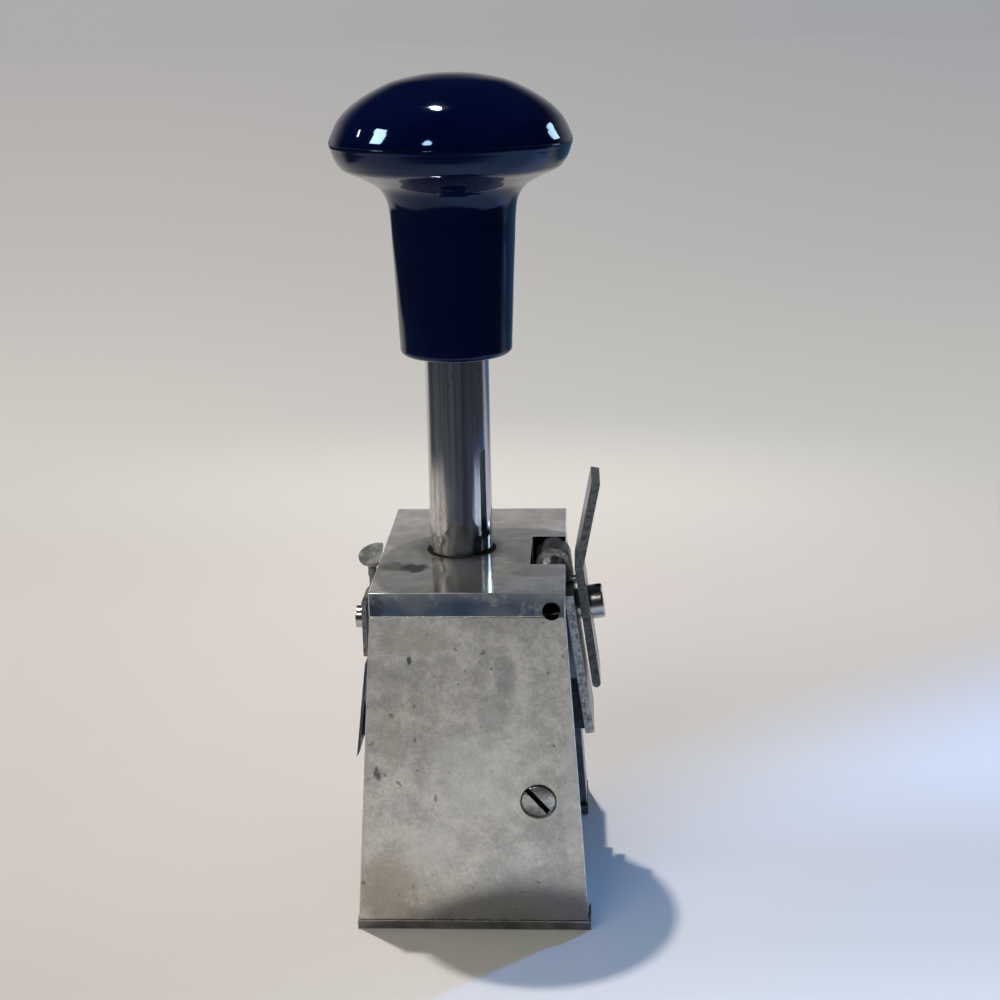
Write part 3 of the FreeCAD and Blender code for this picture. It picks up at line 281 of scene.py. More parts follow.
# Head: the first five tint the front band dark blue with grey and near-black patches, a painted reflection of
# the dark room; the next three are darker grey patches on the top, the last two a dark double smudge.
HEAD_MARKS_AND_PAINTED_REFLECTION = (((-1.3, -28.6, 62), (60, 1.3, 16), 1.0, (0.19, 0.26, 0.34)),
              ((-10, -28.6, 69), (5, 1.0, 5), 0.75, (0.44, 0.46, 0.48)),
              ((6, -28.6, 66.5), (7, 1.0, 3.5), 0.7, (0.42, 0.45, 0.49)),
              ((-17.5, -28.6, 68), (3, 1.0, 5), 0.7, (0.06, 0.09, 0.14)),
              ((-1, -28.6, 68), (3.5, 1.0, 5), 0.5, (0.07, 0.11, 0.17)),
              ((10.5, -3, 71), (6, 12, 3), 0.35, (0.36, 0.36, 0.35)),
              ((-15, 8, 71), (7, 14, 3), 0.3, (0.40, 0.39, 0.36)),
              ((14, -16, 71), (10, 5, 3), 0.3, (0.40, 0.40, 0.39)),
              ((-15.0, -12.2, 71), (5.6, 4.6, 3.0), 0.75, (0.22, 0.22, 0.22)),
              ((-11.4, -13.6, 71), (4.4, 4.6, 3.0), 0.92, (0.05, 0.051, 0.053)))
# Painted shade on the head's painted glint: the edge greyed over its middle and right, so that its bright line
# shows on the left third.
PAINTED_GLINT_DIMMING = ((10, -28.5, 71), (20, 5, 5), 0.95, (0.30, 0.30, 0.295))
# Stem: a dark navy patch low on its right front, a painted reflection.
STEM_PAINTED_REFLECTION = ((STEM_X + 4.8, -4.4, 72), (4.6, 4.4, 9), 0.92, (0.03, 0.05, 0.08))
STRAP_MARK = ((RIGHT_PIN_X, -5, TOP_Z), (9, 30, 5.5), 0.92, (0.05, 0.055, 0.075))


def add_mark(look, centre, size, share, tone, ragged=True):
    """A mark over a look's colour, with a ragged border or a smooth one: a stain, or painted shade, reflection
    or highlight.
    """
    mark = look.spot(centre, size)
    if ragged:
        mark = look.math("MULTIPLY", mark, look.ramp(look.noise(260, 6, 0.7), 0.3, 0.55, 0.3, 1.0))
    mark = look.ramp(mark, 0.08, 0.5)
    base = look.shader.inputs["Base Color"].links[0].from_socket
    look.feed("Base Color", look.blend(look.math("MULTIPLY", mark, share), base, rgb(*tone)))


def add_marks(look, marks):
    for centre, size, share, tone in marks:
        add_mark(look, centre, size, share, tone)


def add_bore_grime(look):
    """A ring of dark grime round the stem's bore, and a painted black gap at the stem, wider in front: painted
    shade where the stem stands in its bore.
    """
    far = look.distance((STEM_X, -0.9, TOP_Z))
    ring = look.ramp(far, 0.0068, 0.0108, 0.8, 0.0)
    ring = look.math("MULTIPLY", ring, look.ramp(look.noise(300, 4, 0.65), 0.3, 0.65, 0.25, 1.0))
    # The gap: painted shade, black and matt.
    gap = look.ramp(far, 0.0071, 0.0074, 1.0, 0.0)
    ring = look.math("MAXIMUM", ring, gap)
    base = look.shader.inputs["Base Color"].links[0].from_socket
    look.feed("Base Color", look.blend(ring, base, rgb(0.004, 0.004, 0.005)))
    rough = look.shader.inputs["Roughness"].links[0].from_socket
    look.feed("Roughness", look.math("MAXIMUM", rough, gap))


def stem_chrome():
    """Polished plating with fine rubbing marks along the stem and cream stains low down."""
    look = Look("stem_chrome", Metallic=1.0, IOR=2.4)
    streak = look.noise(420, 5, 0.7, stretch=(3.2, 3.2, 0.035))
    fine = look.noise(1500, 3, 0.6, stretch=(2.5, 2.5, 0.05), shift=(0.2, 0.4, 0.1))
    spots = look.noise(700, 3, 0.6, stretch=(1, 1, 0.5))
    colour = look.blend(look.ramp(streak, 0.42, 0.66), rgb(0.72, 0.72, 0.725), rgb(0.42, 0.415, 0.41))
    across = look.node("ShaderNodeSeparateXYZ", Vector=look.place)
    low = look.ramp(across.outputs["Z"], 0.073, 0.094, 1.0, 0.0)
    low = look.math("MULTIPLY", low, look.ramp(across.outputs["X"], -0.0066, -0.0026, 1.0, 0.1))
    cream = look.math("MULTIPLY", low, look.ramp(look.noise(260, 3, 0.6, stretch=(1, 1, 0.4)), 0.44, 0.56))
    colour = look.blend(look.math("MULTIPLY", cream, 0.7), colour, rgb(0.54, 0.485, 0.39))
    look.feed("Metallic", look.math("SUBTRACT", 1.0, look.math("MULTIPLY", cream, 0.55)))
    colour = look.blend(look.ramp(spots, 0.66, 0.74, 0.0, 0.55), colour, rgb(0.12, 0.11, 0.10))
    look.feed("Base Color", colour)
    gloss = look.math("ADD", look.ramp(streak, 0.4, 0.7, 0.045, 0.12), look.ramp(spots, 0.6, 0.75, 0.0, 0.12))
    look.feed("Roughness", look.math("ADD", gloss, look.math("MULTIPLY", cream, 0.2)))
    look.bump(streak, 0.16, 0.00006)
    look.bump(fine, 0.1, 0.00003)
    return look


def knob_plastic(name, seed):
    """Moulded plastic of a very dark navy, polished, with faint waves and hairline scuffs; its reflections
    carry a painted blue tint.
    """
    # The specular tint paints the reflections blue.
    look = Look(name, IOR=1.5, Specular_Tint=rgb(0.35, 0.6, 1.0))
    wave = look.noise(70, 2, 0.4, shift=(seed, 0, seed))
    scuff = look.noise(900, 5, 0.75, stretch=(0.25, 0.25, 2.0), shift=(seed, seed, 0))
    dust = look.noise(2600, 2, 0.6, shift=(0, seed, 0))
    colour = look.blend(look.ramp(wave, 0.35, 0.65), rgb(0.0003, 0.0020, 0.0210), rgb(0.0007, 0.0032, 0.0270))
    colour = look.blend(look.ramp(dust, 0.76, 0.8, 0.0, 0.05), colour, rgb(0.3, 0.33, 0.4))
    look.feed("Base Color", colour)
    look.feed("Roughness", look.ramp(scuff, 0.5, 0.85, 0.05, 0.13))
    look.bump(wave, 0.10, 0.0004)
    look.bump(scuff, 0.02, 0.00003)
    return look


def buffer_rubber():
    look = Look("buffer_rubber", IOR=1.52)
    speck = look.noise(900, 4, 0.6)
    colour = look.blend(look.ramp(speck, 0.35, 0.7), rgb(0.012, 0.012, 0.013), rgb(0.03, 0.029, 0.028))
    look.feed("Base Color", colour)
    look.feed("Roughness", look.ramp(speck, 0.3, 0.7, 0.55, 0.75))
    look.bump(speck, 0.4, 0.0001)
    return look


def ink_felt():
    """Wool felt soaked in blue-black ink: matted fibres, wetter and darker in patches."""
    look = Look("ink_felt", IOR=1.45, Sheen_Weight=0.25, Sheen_Roughness=0.6)
    fibre = look.noise(2600, 6, 0.75, stretch=(1, 1.6, 1))
    clump = look.noise(500, 4, 0.6)
    wet = look.noise(140, 3, 0.5)
    colour = look.blend(look.ramp(clump, 0.3, 0.7), rgb(0.010, 0.011, 0.028), rgb(0.030, 0.032, 0.060))
    colour = look.blend(look.ramp(fibre, 0.5, 0.75, 0.0, 0.5), colour, rgb(0.07, 0.07, 0.10))
    look.feed("Base Color", colour)
    look.feed("Roughness", look.ramp(wet, 0.4, 0.6, 0.85, 0.5))
    look.bump(fibre, 0.7, 0.0002)
    look.bump(clump, 0.5, 0.0003)
    return look


def make_looks():
    looks = {}
    plate = aged_nickel("front_plate_nickel")
    add_marks(plate, PLATE_MARKS_AND_PAINTED_HIGHLIGHT)
    # The plate's bottom darkened: a painted reflection of the shadow on the floor in front.
    add_mark(plate, *PLATE_PAINTED_REFLECTED_SHADOW, ragged=False)
    looks["plate"] = plate
    head = worn_metal("head_nickel", (0.93, 0.915, 0.85), (0.74, 0.725, 0.675), 0.1, 0.06, cell=60,
                      stain_share=(0.42, 0.62), pits=0.6, grain_scale=1500, grain_depth=0.06, metallic=0.76,
                      seed=0.37)
    # The front band's dark blue is a painted reflection; the rest are marks on the metal.
    add_marks(head, HEAD_MARKS_AND_PAINTED_REFLECTION)
    add_bore_grime(head)
    looks["head"] = head
    looks["rear"] = worn_metal("rear_plate_nickel", (0.48, 0.47, 0.44), (0.34, 0.33, 0.30), 0.33, 0.14,
                               cell=50, pits=0.7, grain_scale=1300, grain_depth=0.12, metallic=0.92, seed=0.71)
    looks["base"] = worn_metal("base_steel", (0.20, 0.195, 0.185), (0.12, 0.115, 0.105), 0.4, 0.16, cell=70,
                               pits=0.8, grain=(1, 12, 1), grain_scale=300, seed=0.53)
    looks["leg"] = worn_metal("leg_steel", (0.22, 0.235, 0.26), (0.12, 0.125, 0.14), 0.30, 0.14, cell=80,
                              pits=0.7, grain=(1, 1, 6), grain_scale=400, seed=0.29)
    looks["cheek"] = worn_metal("cheek_steel", (0.36, 0.36, 0.36), (0.2, 0.2, 0.2), 0.34, 0.14, cell=70,
                                pits=0.7, grain=(1, 8, 1), grain_scale=260, seed=0.83)
    looks["bright"] = edge_metal("rubbed_nickel", (0.72, 0.71, 0.68), 0.16)
    # The head's corners: nearly white and mostly diffuse, a painted glint, so that the top front edge shows as
    # a bright line under the key lamp; the mark after dims it away from the left.
    looks["head_painted_glint"] = edge_metal("head_edge_painted_glint", (0.97, 0.965, 0.94), 0.06, metallic=0.12)
    add_mark(looks["head_painted_glint"], *PAINTED_GLINT_DIMMING)
    looks["dark_edge"] = edge_metal("rubbed_steel", (0.45, 0.46, 0.48), 0.24)
    looks["screw"] = worn_metal("screw_steel", (0.50, 0.485, 0.45), (0.26, 0.25, 0.23), 0.2, 0.12, cell=160,
                                pits=0.5, grain_scale=2200, grain_depth=0.1, seed=0.19)
    looks["pin"] = worn_metal("pin_steel", (0.36, 0.37, 0.39), (0.2, 0.2, 0.21), 0.2, 0.12, cell=140,
                              pits=0.5, grain_scale=1800, seed=0.47)
    looks["spring"] = worn_metal("spring_wire", (0.30, 0.31, 0.33), (0.17, 0.16, 0.16), 0.26, 0.14, cell=220,
                                 pits=0.6, grain_scale=2500, seed=0.61)
    looks["lever"] = worn_metal("lever_steel", (0.30, 0.305, 0.315), (0.17, 0.17, 0.175), 0.32, 0.16, cell=90,
                                pits=0.8, grain=(1, 1, 5), grain_scale=500, seed=0.91)
    add_mark(looks["lever"], *STRAP_MARK)
    looks["sheared"] = sheared_metal("sheared_steel", (0.21, 0.21, 0.205), (0.80, 0.79, 0.76))
    looks["finger_edge"] = sheared_metal("finger_edge_steel", (0.06, 0.06, 0.06), (0.19, 0.187, 0.18))
    looks["lug"] = worn_metal("lug_steel", (0.06, 0.065, 0.08), (0.03, 0.032, 0.04), 0.4, 0.16, cell=120,
                              pits=0.6, grain_scale=900, seed=0.13)
    looks["blade"] = worn_metal("blade_steel", (0.085, 0.09, 0.11), (0.04, 0.042, 0.05), 0.3, 0.16, cell=110,
                                pits=0.6, grain=(1, 1, 6), grain_scale=500, seed=0.67)
    looks["thumb"] = worn_metal("thumb_nickel", (0.33, 0.33, 0.31), (0.13, 0.13, 0.12), 0.34, 0.16, cell=330,
                                stain_share=(0.38, 0.62), pits=0.7, grain_scale=1600, seed=0.43)
    looks["turned"] = turned_metal("turned_screw_head", (13.4, -30.3, 27.8), 3.55)
    # Inside slots and holes: near-black, painted shade.
    looks["slot"] = worn_metal("slot_steel", (0.008, 0.008, 0.009), (0.004, 0.004, 0.004), 0.6, 0.1, cell=160,
                               grain_scale=900, seed=0.3)
    looks["thumb_edge"] = sheared_metal("thumb_edge_steel", (0.05, 0.05, 0.05), (0.30, 0.30, 0.285))
    looks["wheel"] = worn_metal("wheel_steel", (0.30, 0.29, 0.28), (0.10, 0.10, 0.11), 0.3, 0.16, cell=180,
                                pits=0.6, grain_scale=1600, seed=0.77)
    looks["type"] = worn_metal("inked_type", (0.22, 0.22, 0.23), (0.03, 0.03, 0.05), 0.34, 0.2, cell=260,
                               stain_share=(0.38, 0.55), pits=0.7, grain_scale=1800, seed=0.59)
    looks["chrome"] = stem_chrome()
    # Painted dark blue reflection low on the stem.
    add_mark(looks["chrome"], *STEM_PAINTED_REFLECTION)
    looks["knob"] = knob_plastic("knob_plastic", 0.0)
    looks["cap"] = knob_plastic("cap_plastic", 0.4)
    looks["rubber"] = buffer_rubber()
    looks["felt"] = ink_felt()
    return looks


LOOKS = make_looks()


def add_object(name, data):
    made = bpy.data.objects.new(name, data)
    bpy.context.scene.collection.objects.link(made)
    return made


def add_mesh(name, bm, mesh_name=None):
    """An object with the mesh that was built in bm."""
    mesh = bpy.data.meshes.new(mesh_name or name)
    bm.to_mesh(mesh)
    bm.free()
    return add_object(name, mesh)


def settle(piece, node, looks, others=()):
    """Gives a piece its materials and its body, and hides the CAD nodes that it stands in for."""
    for key in looks:
        piece.data.materials.append(LOOKS[key].material)
    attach(piece, body_of[node])
    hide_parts(node, *others)
    return piece


def smooth(mesh, degrees=35):
    mesh.shade_smooth()
    mesh.set_sharp_from_angle(angle=math.radians(degrees))


def flatten_shading(mesh, degrees=38):
    """Corner normals weighted by area, so that wide faces stay flat beside their rounded corners."""
    limit = math.cos(math.radians(degrees))
    faces_at = {}
    for face in mesh.polygons:
        for index in face.vertices:
            faces_at.setdefault(index, []).append(face)
    normals = []
    for face in mesh.polygons:
        for index in face.vertices:
            total = Vector((0, 0, 0))
            for other in faces_at[index]:
                if other.normal.dot(face.normal) > limit:
                    total += other.normal * other.area
            normals.append(total.normalized() if total.length > 1e-18 else face.normal.copy())
    mesh.normals_split_custom_set(normals)


def dress(node, looks, bevel=0.15, segments=2, faces=None, keep=32, hollow=None, long_first=False):
    """A cleaned copy of a CAD node with rounded, rubbed corners; bevel is in millimetres.
    looks names the main material, the corners' and, with faces, that of the faces along a direction or,
    with hollow, that of the faces deeper than a place along a direction and within a reach of it.
    long_first rounds the long edges on their own, so that short ones near them don't hold them back."""
    bm = bmesh.new()
    bm.from_mesh(cad_nodes[node].data)
    bmesh.ops.remove_doubles(bm, verts=bm.verts, dist=WELD)
    bmesh.ops.dissolve_limit(bm, angle_limit=math.radians(FLAT_DEGREES), verts=bm.verts, edges=bm.edges)
    if faces:
        direction = Vector(faces).normalized()
    for face in bm.faces:
        face.material_index = 0
        if faces and abs(face.normal.dot(direction)) > ALONG:
            face.material_index = 2
        if hollow:
            place, out, reach = hollow
            out = Vector(out).normalized()
            away = face.calc_center_median() - Vector(place) * MM
            depth = away.dot(out)
            if depth < -HOLLOW_DEPTH and (away - out * depth).length < reach * MM:
                face.material_index = 2
    for least in ((LONG_EDGE * MM, 0.0) if long_first else (0.0,)):
        sharp = [e for e in bm.edges if len(e.link_faces) == 2 and e.calc_face_angle(0) > math.radians(keep)
                 and e.calc_length() > least]
        if bevel and sharp:
            bmesh.ops.bevel(bm, geom=sharp, offset=bevel * MM, offset_type="OFFSET", segments=segments,
                            profile=0.6, affect="EDGES", clamp_overlap=True, material=1, harden_normals=False)
    piece = add_mesh(node + "_dressed", bm, node + "_looks")
    smooth(piece.data)
    flatten_shading(piece.data)
    return settle(piece, node, looks)


def catmull(points, per):
    """A smooth line through points, with per steps between each two."""
    pts = [Vector(p) for p in points]
    ring = [2 * pts[0] - pts[1]] + pts + [2 * pts[-1] - pts[-2]]
    line = []
    for i in range(1, len(ring) - 2):
        p0, p1, p2, p3 = ring[i - 1:i + 3]
        for k in range(per):
            t = k / per
            line.append(0.5 * ((2 * p1) + (p2 - p0) * t + (2 * p0 - 5 * p1 + 4 * p2 - p3) * t ** 2
                               + (3 * p1 - p0 - 3 * p2 + p3) * t ** 3))
    line.append(pts[-1])
    return line


def lathe(name, profile, steps):
    """A form turned about the stem's axis. The profile is in millimetres: distance from it, and height."""
    bm = bmesh.new()
    rings = []
    for r, z in profile:
        angles = [2 * math.pi * k / steps for k in range(steps)] if r > 1e-6 else [0.0]
        rings.append([bm.verts.new(Vector((STEM_X + r * math.cos(a), r * math.sin(a), z)) * MM)
                      for a in angles])
    for low, high in zip(rings[:-1], rings[1:]):
        for k in range(steps):
            j = (k + 1) % steps
            corners = [low[k % len(low)], low[j % len(low)], high[j % len(high)], high[k % len(high)]]
            unique = []
            for corner in corners:
                if corner not in unique:
                    unique.append(corner)
            if len(unique) > 2:
                bm.faces.new(unique)
    bmesh.ops.recalc_face_normals(bm, faces=bm.faces)
    return add_mesh(name, bm)


KNOB_STEPS = 160
STEM_STEPS = 128


# Knob: body and cap, each turned from a smooth outline with a fine step at the seam
def build_knob():
    under = [(23.62, 153.6), (23.55, 153.2), (23.38, 152.7), (23.16, 152.0), (22.79, 151.0), (22.15, 149.9),
             (21.02, 148.7), (18.0, 147.3), (14.61, 145.4), (13.0, 143.0), (12.43, 140.0), (12.14, 134.0),
             (11.8, 127.0), (11.54, 120.0), (11.3, 114.4)]
    line = [(p.x, p.y) for p in catmull([(r, z, 0) for r, z in under], 8)]
    foot_radius, foot_z, rounding = 11.3, 113.45, 1.25
    foot = [(foot_radius - rounding * (1 - math.cos(a)), foot_z - rounding * math.sin(a))
            for a in map(math.radians, range(6, 91, 7))]
    bore = [(9.2, 112.2), (6.75, 112.2), (6.55, 112.4), (6.55, STEM_TOP), (0, STEM_TOP)]
    seam = [(0, SEAM_Z - 0.01), (23.4, SEAM_Z - 0.01), (23.56, SEAM_Z - 0.04), (23.62, SEAM_Z - 0.1)]
    body = lathe("knob_body", seam + line + foot + bore, KNOB_STEPS)
    smooth(body.data, 50)
    settle(body, "knob", ["knob"])
    dome = [(23.62, 154.05), (23.36, 155.0), (22.68, 156.5), (21.68, 158.3), (19.8, 160.3), (17.17, 162.2),
            (14.1, 163.9), (10.74, 165.3), (6.47, 166.25), (3.2, 166.65), (0, 166.78)]
    arc = [(max(p.x, 0.0), p.y) for p in catmull([(r, z, 0) for r, z in dome], 8)]
    lip = [(0, SEAM_Z), (23.5, SEAM_Z), (23.62, SEAM_Z + 0.02), (23.66, SEAM_Z + 0.07),
           (23.65, SEAM_Z + 0.14)]
    cap = lathe("knob_cap_dome", lip + arc, KNOB_STEPS)
    smooth(cap.data, 50)
    settle(cap, "knob_cap", ["cap"])


def build_stem():
    """The stem's bar with a thinner foot, in several lengths so that its shading stays even."""
    foot = [(0, 56.0), (3.95, 56.0), (4.0, 56.05), (4.0, 60.0), (6.3, 60.0)]
    bar = [(STEM_RADIUS, z) for z in (60.2, 64, 76, 90, 104, 118, 132, 139.0)]
    stem = lathe("stem_bar", foot + bar + [(5.7, STEM_TOP), (0, STEM_TOP)], STEM_STEPS)
    smooth(stem.data, 30)
    settle(stem, "stem", ["chrome"])


def tube(name, points, radius, sides=12):
    """A round wire along a line of points, in millimetres, closed at both ends."""
    bm = bmesh.new()
    rings = []
    up = Vector((0, 0, 1))
    count = len(points)
    for i, point in enumerate(points):
        ahead = points[min(i + 1, count - 1)]
        behind = points[max(i - 1, 0)]
        along = (ahead - behind).normalized()
        side = along.cross(up)
        if side.length < 1e-3:
            side = along.cross(Vector((1, 0, 0)))
        side.normalize()
        lift = side.cross(along).normalized()
        ring = []
        for k in range(sides):
            a = 2 * math.pi * k / sides
            ring.append(bm.verts.new((point + side * (radius * math.cos(a))
                                      + lift * (radius * math.sin(a))) * MM))
        rings.append(ring)
    for low, high in zip(rings[:-1], rings[1:]):
        for k in range(sides):
            j = (k + 1) % sides
            bm.faces.new((low[k], low[j], high[j], high[k]))
    bm.faces.new(rings[0])
    bm.faces.new(rings[-1])
    bmesh.ops.recalc_face_normals(bm, faces=bm.faces)
    made = add_mesh(name, bm)
    smooth(made.data, 60)
    return made


def helix(centre, axis, side, mean, rises, steps=32):
    """The line of a coil: each entry of rises is how far one turn climbs."""
    across = axis.cross(side)
    points = []
    height = 0.0
    for turn, rise in enumerate(rises):
        for k in range(steps):
            a = 2 * math.pi * k / steps
            points.append(centre + side * (mean * math.cos(a)) + across * (mean * math.sin(a))
                          + axis * (height + rise * k / steps))
        height += rise
    points.append(centre + side * mean + axis * height)
    return points


# Return springs, and the small coil on the right lever's pin
def build_springs():
    travel, low, length = 28.0, 2.0, 54.0
    rod_x, rod_y, mean, wire = 7.5, -18.2, 2.75, 0.45
    open_turns, closed = 11, 0.95
    rise = (length - 2 * wire - 2 * closed) / open_turns
    rises = [closed] + [rise] * open_turns + [closed]
    for name, x in (("left", -rod_x), ("right", rod_x)):
        line = helix(Vector((x, rod_y, low + wire)), Vector((0, 0, 1)), Vector((1, 0, 0)), mean, rises)
        piece = tube("coil_spring_" + name, line, wire)
        settle(piece, "return_spring_" + name, ["spring"])
        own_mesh(piece)
    first, mean, wire, turns, rise = -11.0, 2.45, 0.3, 8, 1.1
    start = Vector((RIGHT_PIN_X, first, RIGHT_PIN_Z))
    line = helix(start, Vector((0, 1, 0)), Vector((-1, 0, 0)), mean, [rise] * turns)
    piece = tube("lever_coil", line, wire)
    settle(piece, "lever_spring", ["spring"])


# Ink pad: a crowned felt block, drawn in a little at its corners
def build_pad():
    half = (12.1, 7.45)
    low, high = AXLE_Z - 16.3, AXLE_Z - 12.3
    crown_height, waist, corner_from, corner_pull = 0.35, 0.03, 0.86, 12
    across, along, up = 40, 26, 6
    bm = bmesh.new()
    layers = []
    for k in range(up + 1):
        t = k / up
        bulge = 1 - waist * (2 * t - 1) ** 2
        row = []
        for j in range(along + 1):
            for i in range(across + 1):
                u, v = 2 * i / across - 1, 2 * j / along - 1
                corner = max(0.0, abs(u) - corner_from) * max(0.0, abs(v) - corner_from) * corner_pull
                shrink = bulge * (1 - corner)
                crown = (1 - u ** 4) * (1 - v ** 4)
                z = low + (high - crown_height - low) * t + crown_height * t * crown
                row.append(bm.verts.new(Vector((u * half[0] * shrink, v * half[1] * shrink, z)) * MM))
        layers.append(row)

    def at(i, j, k):
        return layers[k][j * (across + 1) + i]

    for j in range(along):
        for i in range(across):
            for k, flip in ((0, True), (up, False)):
                ring = [at(i, j, k), at(i + 1, j, k), at(i + 1, j + 1, k), at(i, j + 1, k)]
                bm.faces.new(ring[::-1] if flip else ring)
    for k in range(up):
        for i in range(across):
            bm.faces.new((at(i, 0, k), at(i + 1, 0, k), at(i + 1, 0, k + 1), at(i, 0, k + 1)))
            bm.faces.new((at(i + 1, along, k), at(i, along, k), at(i, along, k + 1), at(i + 1, along, k + 1)))
        for j in range(along):
            bm.faces.new((at(0, j + 1, k), at(0, j, k), at(0, j, k + 1), at(0, j + 1, k + 1)))
            bm.faces.new((at(across, j, k), at(across, j + 1, k), at(across, j + 1, k + 1),
                          at(across, j, k + 1)))
    loose = [v for v in bm.verts if not v.link_faces]
    bmesh.ops.delete(bm, geom=loose, context="VERTS")
    piece = add_mesh("felt_pad", bm)
    smooth(piece.data, 60)
    settle(piece, "ink_pad", ["felt"])


def figure_mesh(text):
    """One figure as a flat mesh, filled from the font's outline."""
    curve = bpy.data.curves.new("figure", "FONT")
    curve.body = text
    curve.size = 1.0
    curve.resolution_u = 5
    curve.fill_mode = "FRONT"
    holder = add_object("figure", curve)
    bpy.context.view_layer.update()
    mesh = bpy.data.meshes.new_from_object(holder)
    bpy.data.objects.remove(holder)
    bpy.data.curves.remove(curve)
    return mesh


def wheel_figures():
    """The ten figures, each as corner places and faces, one unit high and centred, and its width."""
    figures = []
    for n in range(10):
        mesh = figure_mesh(str(n))
        xs = [v.co.x for v in mesh.vertices]
        ys = [v.co.y for v in mesh.vertices]
        mx, my = (min(xs) + max(xs)) / 2, (min(ys) + max(ys)) / 2
        tall = max(ys) - min(ys)
        wide = max(xs) - min(xs)
        points = [((v.co.x - mx) / tall, (v.co.y - my) / tall) for v in mesh.vertices]
        figures.append((points, [tuple(p.vertices) for p in mesh.polygons], wide / tall))
        bpy.data.meshes.remove(mesh)
    return figures


FIGURES = wheel_figures()


def on_rim(left, width, u, v, radius, angle):
    """A place on a wheel's rim: u across the wheel, v round it, in millimetres."""
    a = angle + v / radius
    return Vector((left + width / 2 + u, radius * math.sin(a), AXLE_Z + radius * math.cos(a))) * MM


def around_axle(bm, x, turned):
    """New corners at a place along the wheels' axle; turned lists their radii and angles."""
    return [bm.verts.new(Vector((x, r * math.sin(a), AXLE_Z + r * math.cos(a))) * MM) for r, a in turned]


def build_wheel(index):
    pitch, gap, width, ratchet_width = 4.0, 0.2, 2.8, 0.97
    left = (index - 3) * pitch + gap / 2
    bm = bmesh.new()
    steps = 120
    outline = [(WHEEL_BORE, 0.0), (4.6, 0.0), (4.8, 0.25), (7.6, 0.25), (7.8, 0.0), (10.75, 0.0), (11.0, 0.2),
               (11.0, width - 0.2), (10.75, width), (8.3, width), (8.2, width), (WHEEL_BORE, width)]
    rings = [around_axle(bm, left + along, [(r, 2 * math.pi * k / steps) for k in range(steps)])
             for r, along in outline]
    for low, high in zip(rings, rings[1:] + rings[:1]):
        for k in range(steps):
            j = (k + 1) % steps
            bm.faces.new((low[k], low[j], high[j], high[k]))
    # Ratchet: ten hooked teeth beside the disc
    teeth = []
    for k in range(10):
        a, b = 2 * math.pi * k / 10, 2 * math.pi * (k + 1) / 10
        for share, radius in ((0.0, 8.15), (0.25, 7.75), (0.6, 7.2), (0.97, 6.9)):
            teeth.append((radius, a + (b - a) * share))
    hub = [(WHEEL_BORE, a) for r, a in teeth]
    low_teeth, low_hub, high_teeth, high_hub = (
        around_axle(bm, left + width + along, turned)
        for along in (0.0, ratchet_width) for turned in (teeth, hub))
    for k in range(len(teeth)):
        j = (k + 1) % len(teeth)
        bm.faces.new((low_teeth[k], low_teeth[j], high_teeth[j], high_teeth[k]))
        bm.faces.new((high_teeth[k], high_teeth[j], high_hub[j], high_hub[k]))
        bm.faces.new((high_hub[k], high_hub[j], low_hub[j], low_hub[k]))
    body_faces = len(bm.faces)
    # Low lands under the figures, and the figures themselves, cut in relief
    for n in range(10):
        angle = 2 * math.pi * n / 10
        add_land(bm, left, width, angle)
        add_figure(bm, left, width, angle, (n + (index == 5)) % 10)
    bmesh.ops.recalc_face_normals(bm, faces=bm.faces)
    bm.faces.ensure_lookup_table()
    for i, face in enumerate(bm.faces):
        face.material_index = 1 if i >= body_faces else 0
    piece = add_mesh("figure_wheel_%d" % (index + 1), bm)
    smooth(piece.data, 32)
    settle(piece, "number_wheel_%d" % (index + 1), ["wheel", "type"])


def add_land(bm, left, width, angle):
    """A low block under a figure, with sloped sides."""
    columns = 6
    rows = []
    for radius, half_u, half_v in ((10.95, 1.4, 2.25), (11.4, 1.3, 2.05)):
        row = []
        for k in range(columns + 1):
            v = -half_v + 2 * half_v * k / columns
            row.append([bm.verts.new(on_rim(left, width, side * half_u, v, radius, angle))
                        for side in (-1, 1)])
        rows.append(row)
    low, high = rows
    for k in range(columns):
        bm.faces.new((high[k][0], high[k + 1][0], high[k + 1][1], high[k][1]))
        for side in (0, 1):
            bm.faces.new((low[k][side], low[k + 1][side], high[k + 1][side], high[k][side]))
    for k in (0, columns):
        bm.faces.new((low[k][0], low[k][1], high[k][1], high[k][0]))


def add_figure(bm, left, width, angle, number):
    """One figure in relief, mirrored so that it prints the right way round, with flared sides."""
    points, faces, ratio = FIGURES[number]
    tall, widest = 3.7, 2.2
    top_radius, foot_radius = 11.98, 11.35
    wide = min(tall, widest / ratio)
    top, foot = [], []
    for x, y in points:
        u, v = -x * wide, y * tall
        top.append(bm.verts.new(on_rim(left, width, u, v, top_radius, angle)))
        foot.append(bm.verts.new(on_rim(left, width, u * 1.06, v * 1.03, foot_radius, angle)))
    edges = {}
    for face in faces:
        try:
            bm.faces.new([top[i] for i in face])
        except ValueError:
            continue
        for a, b in zip(face, face[1:] + face[:1]):
            key = (min(a, b), max(a, b))
            edges[key] = edges.get(key, 0) + 1
    for (a, b), uses in edges.items():
        if uses == 1:
            bm.faces.new((top[a], top[b], foot[b], foot[a]))


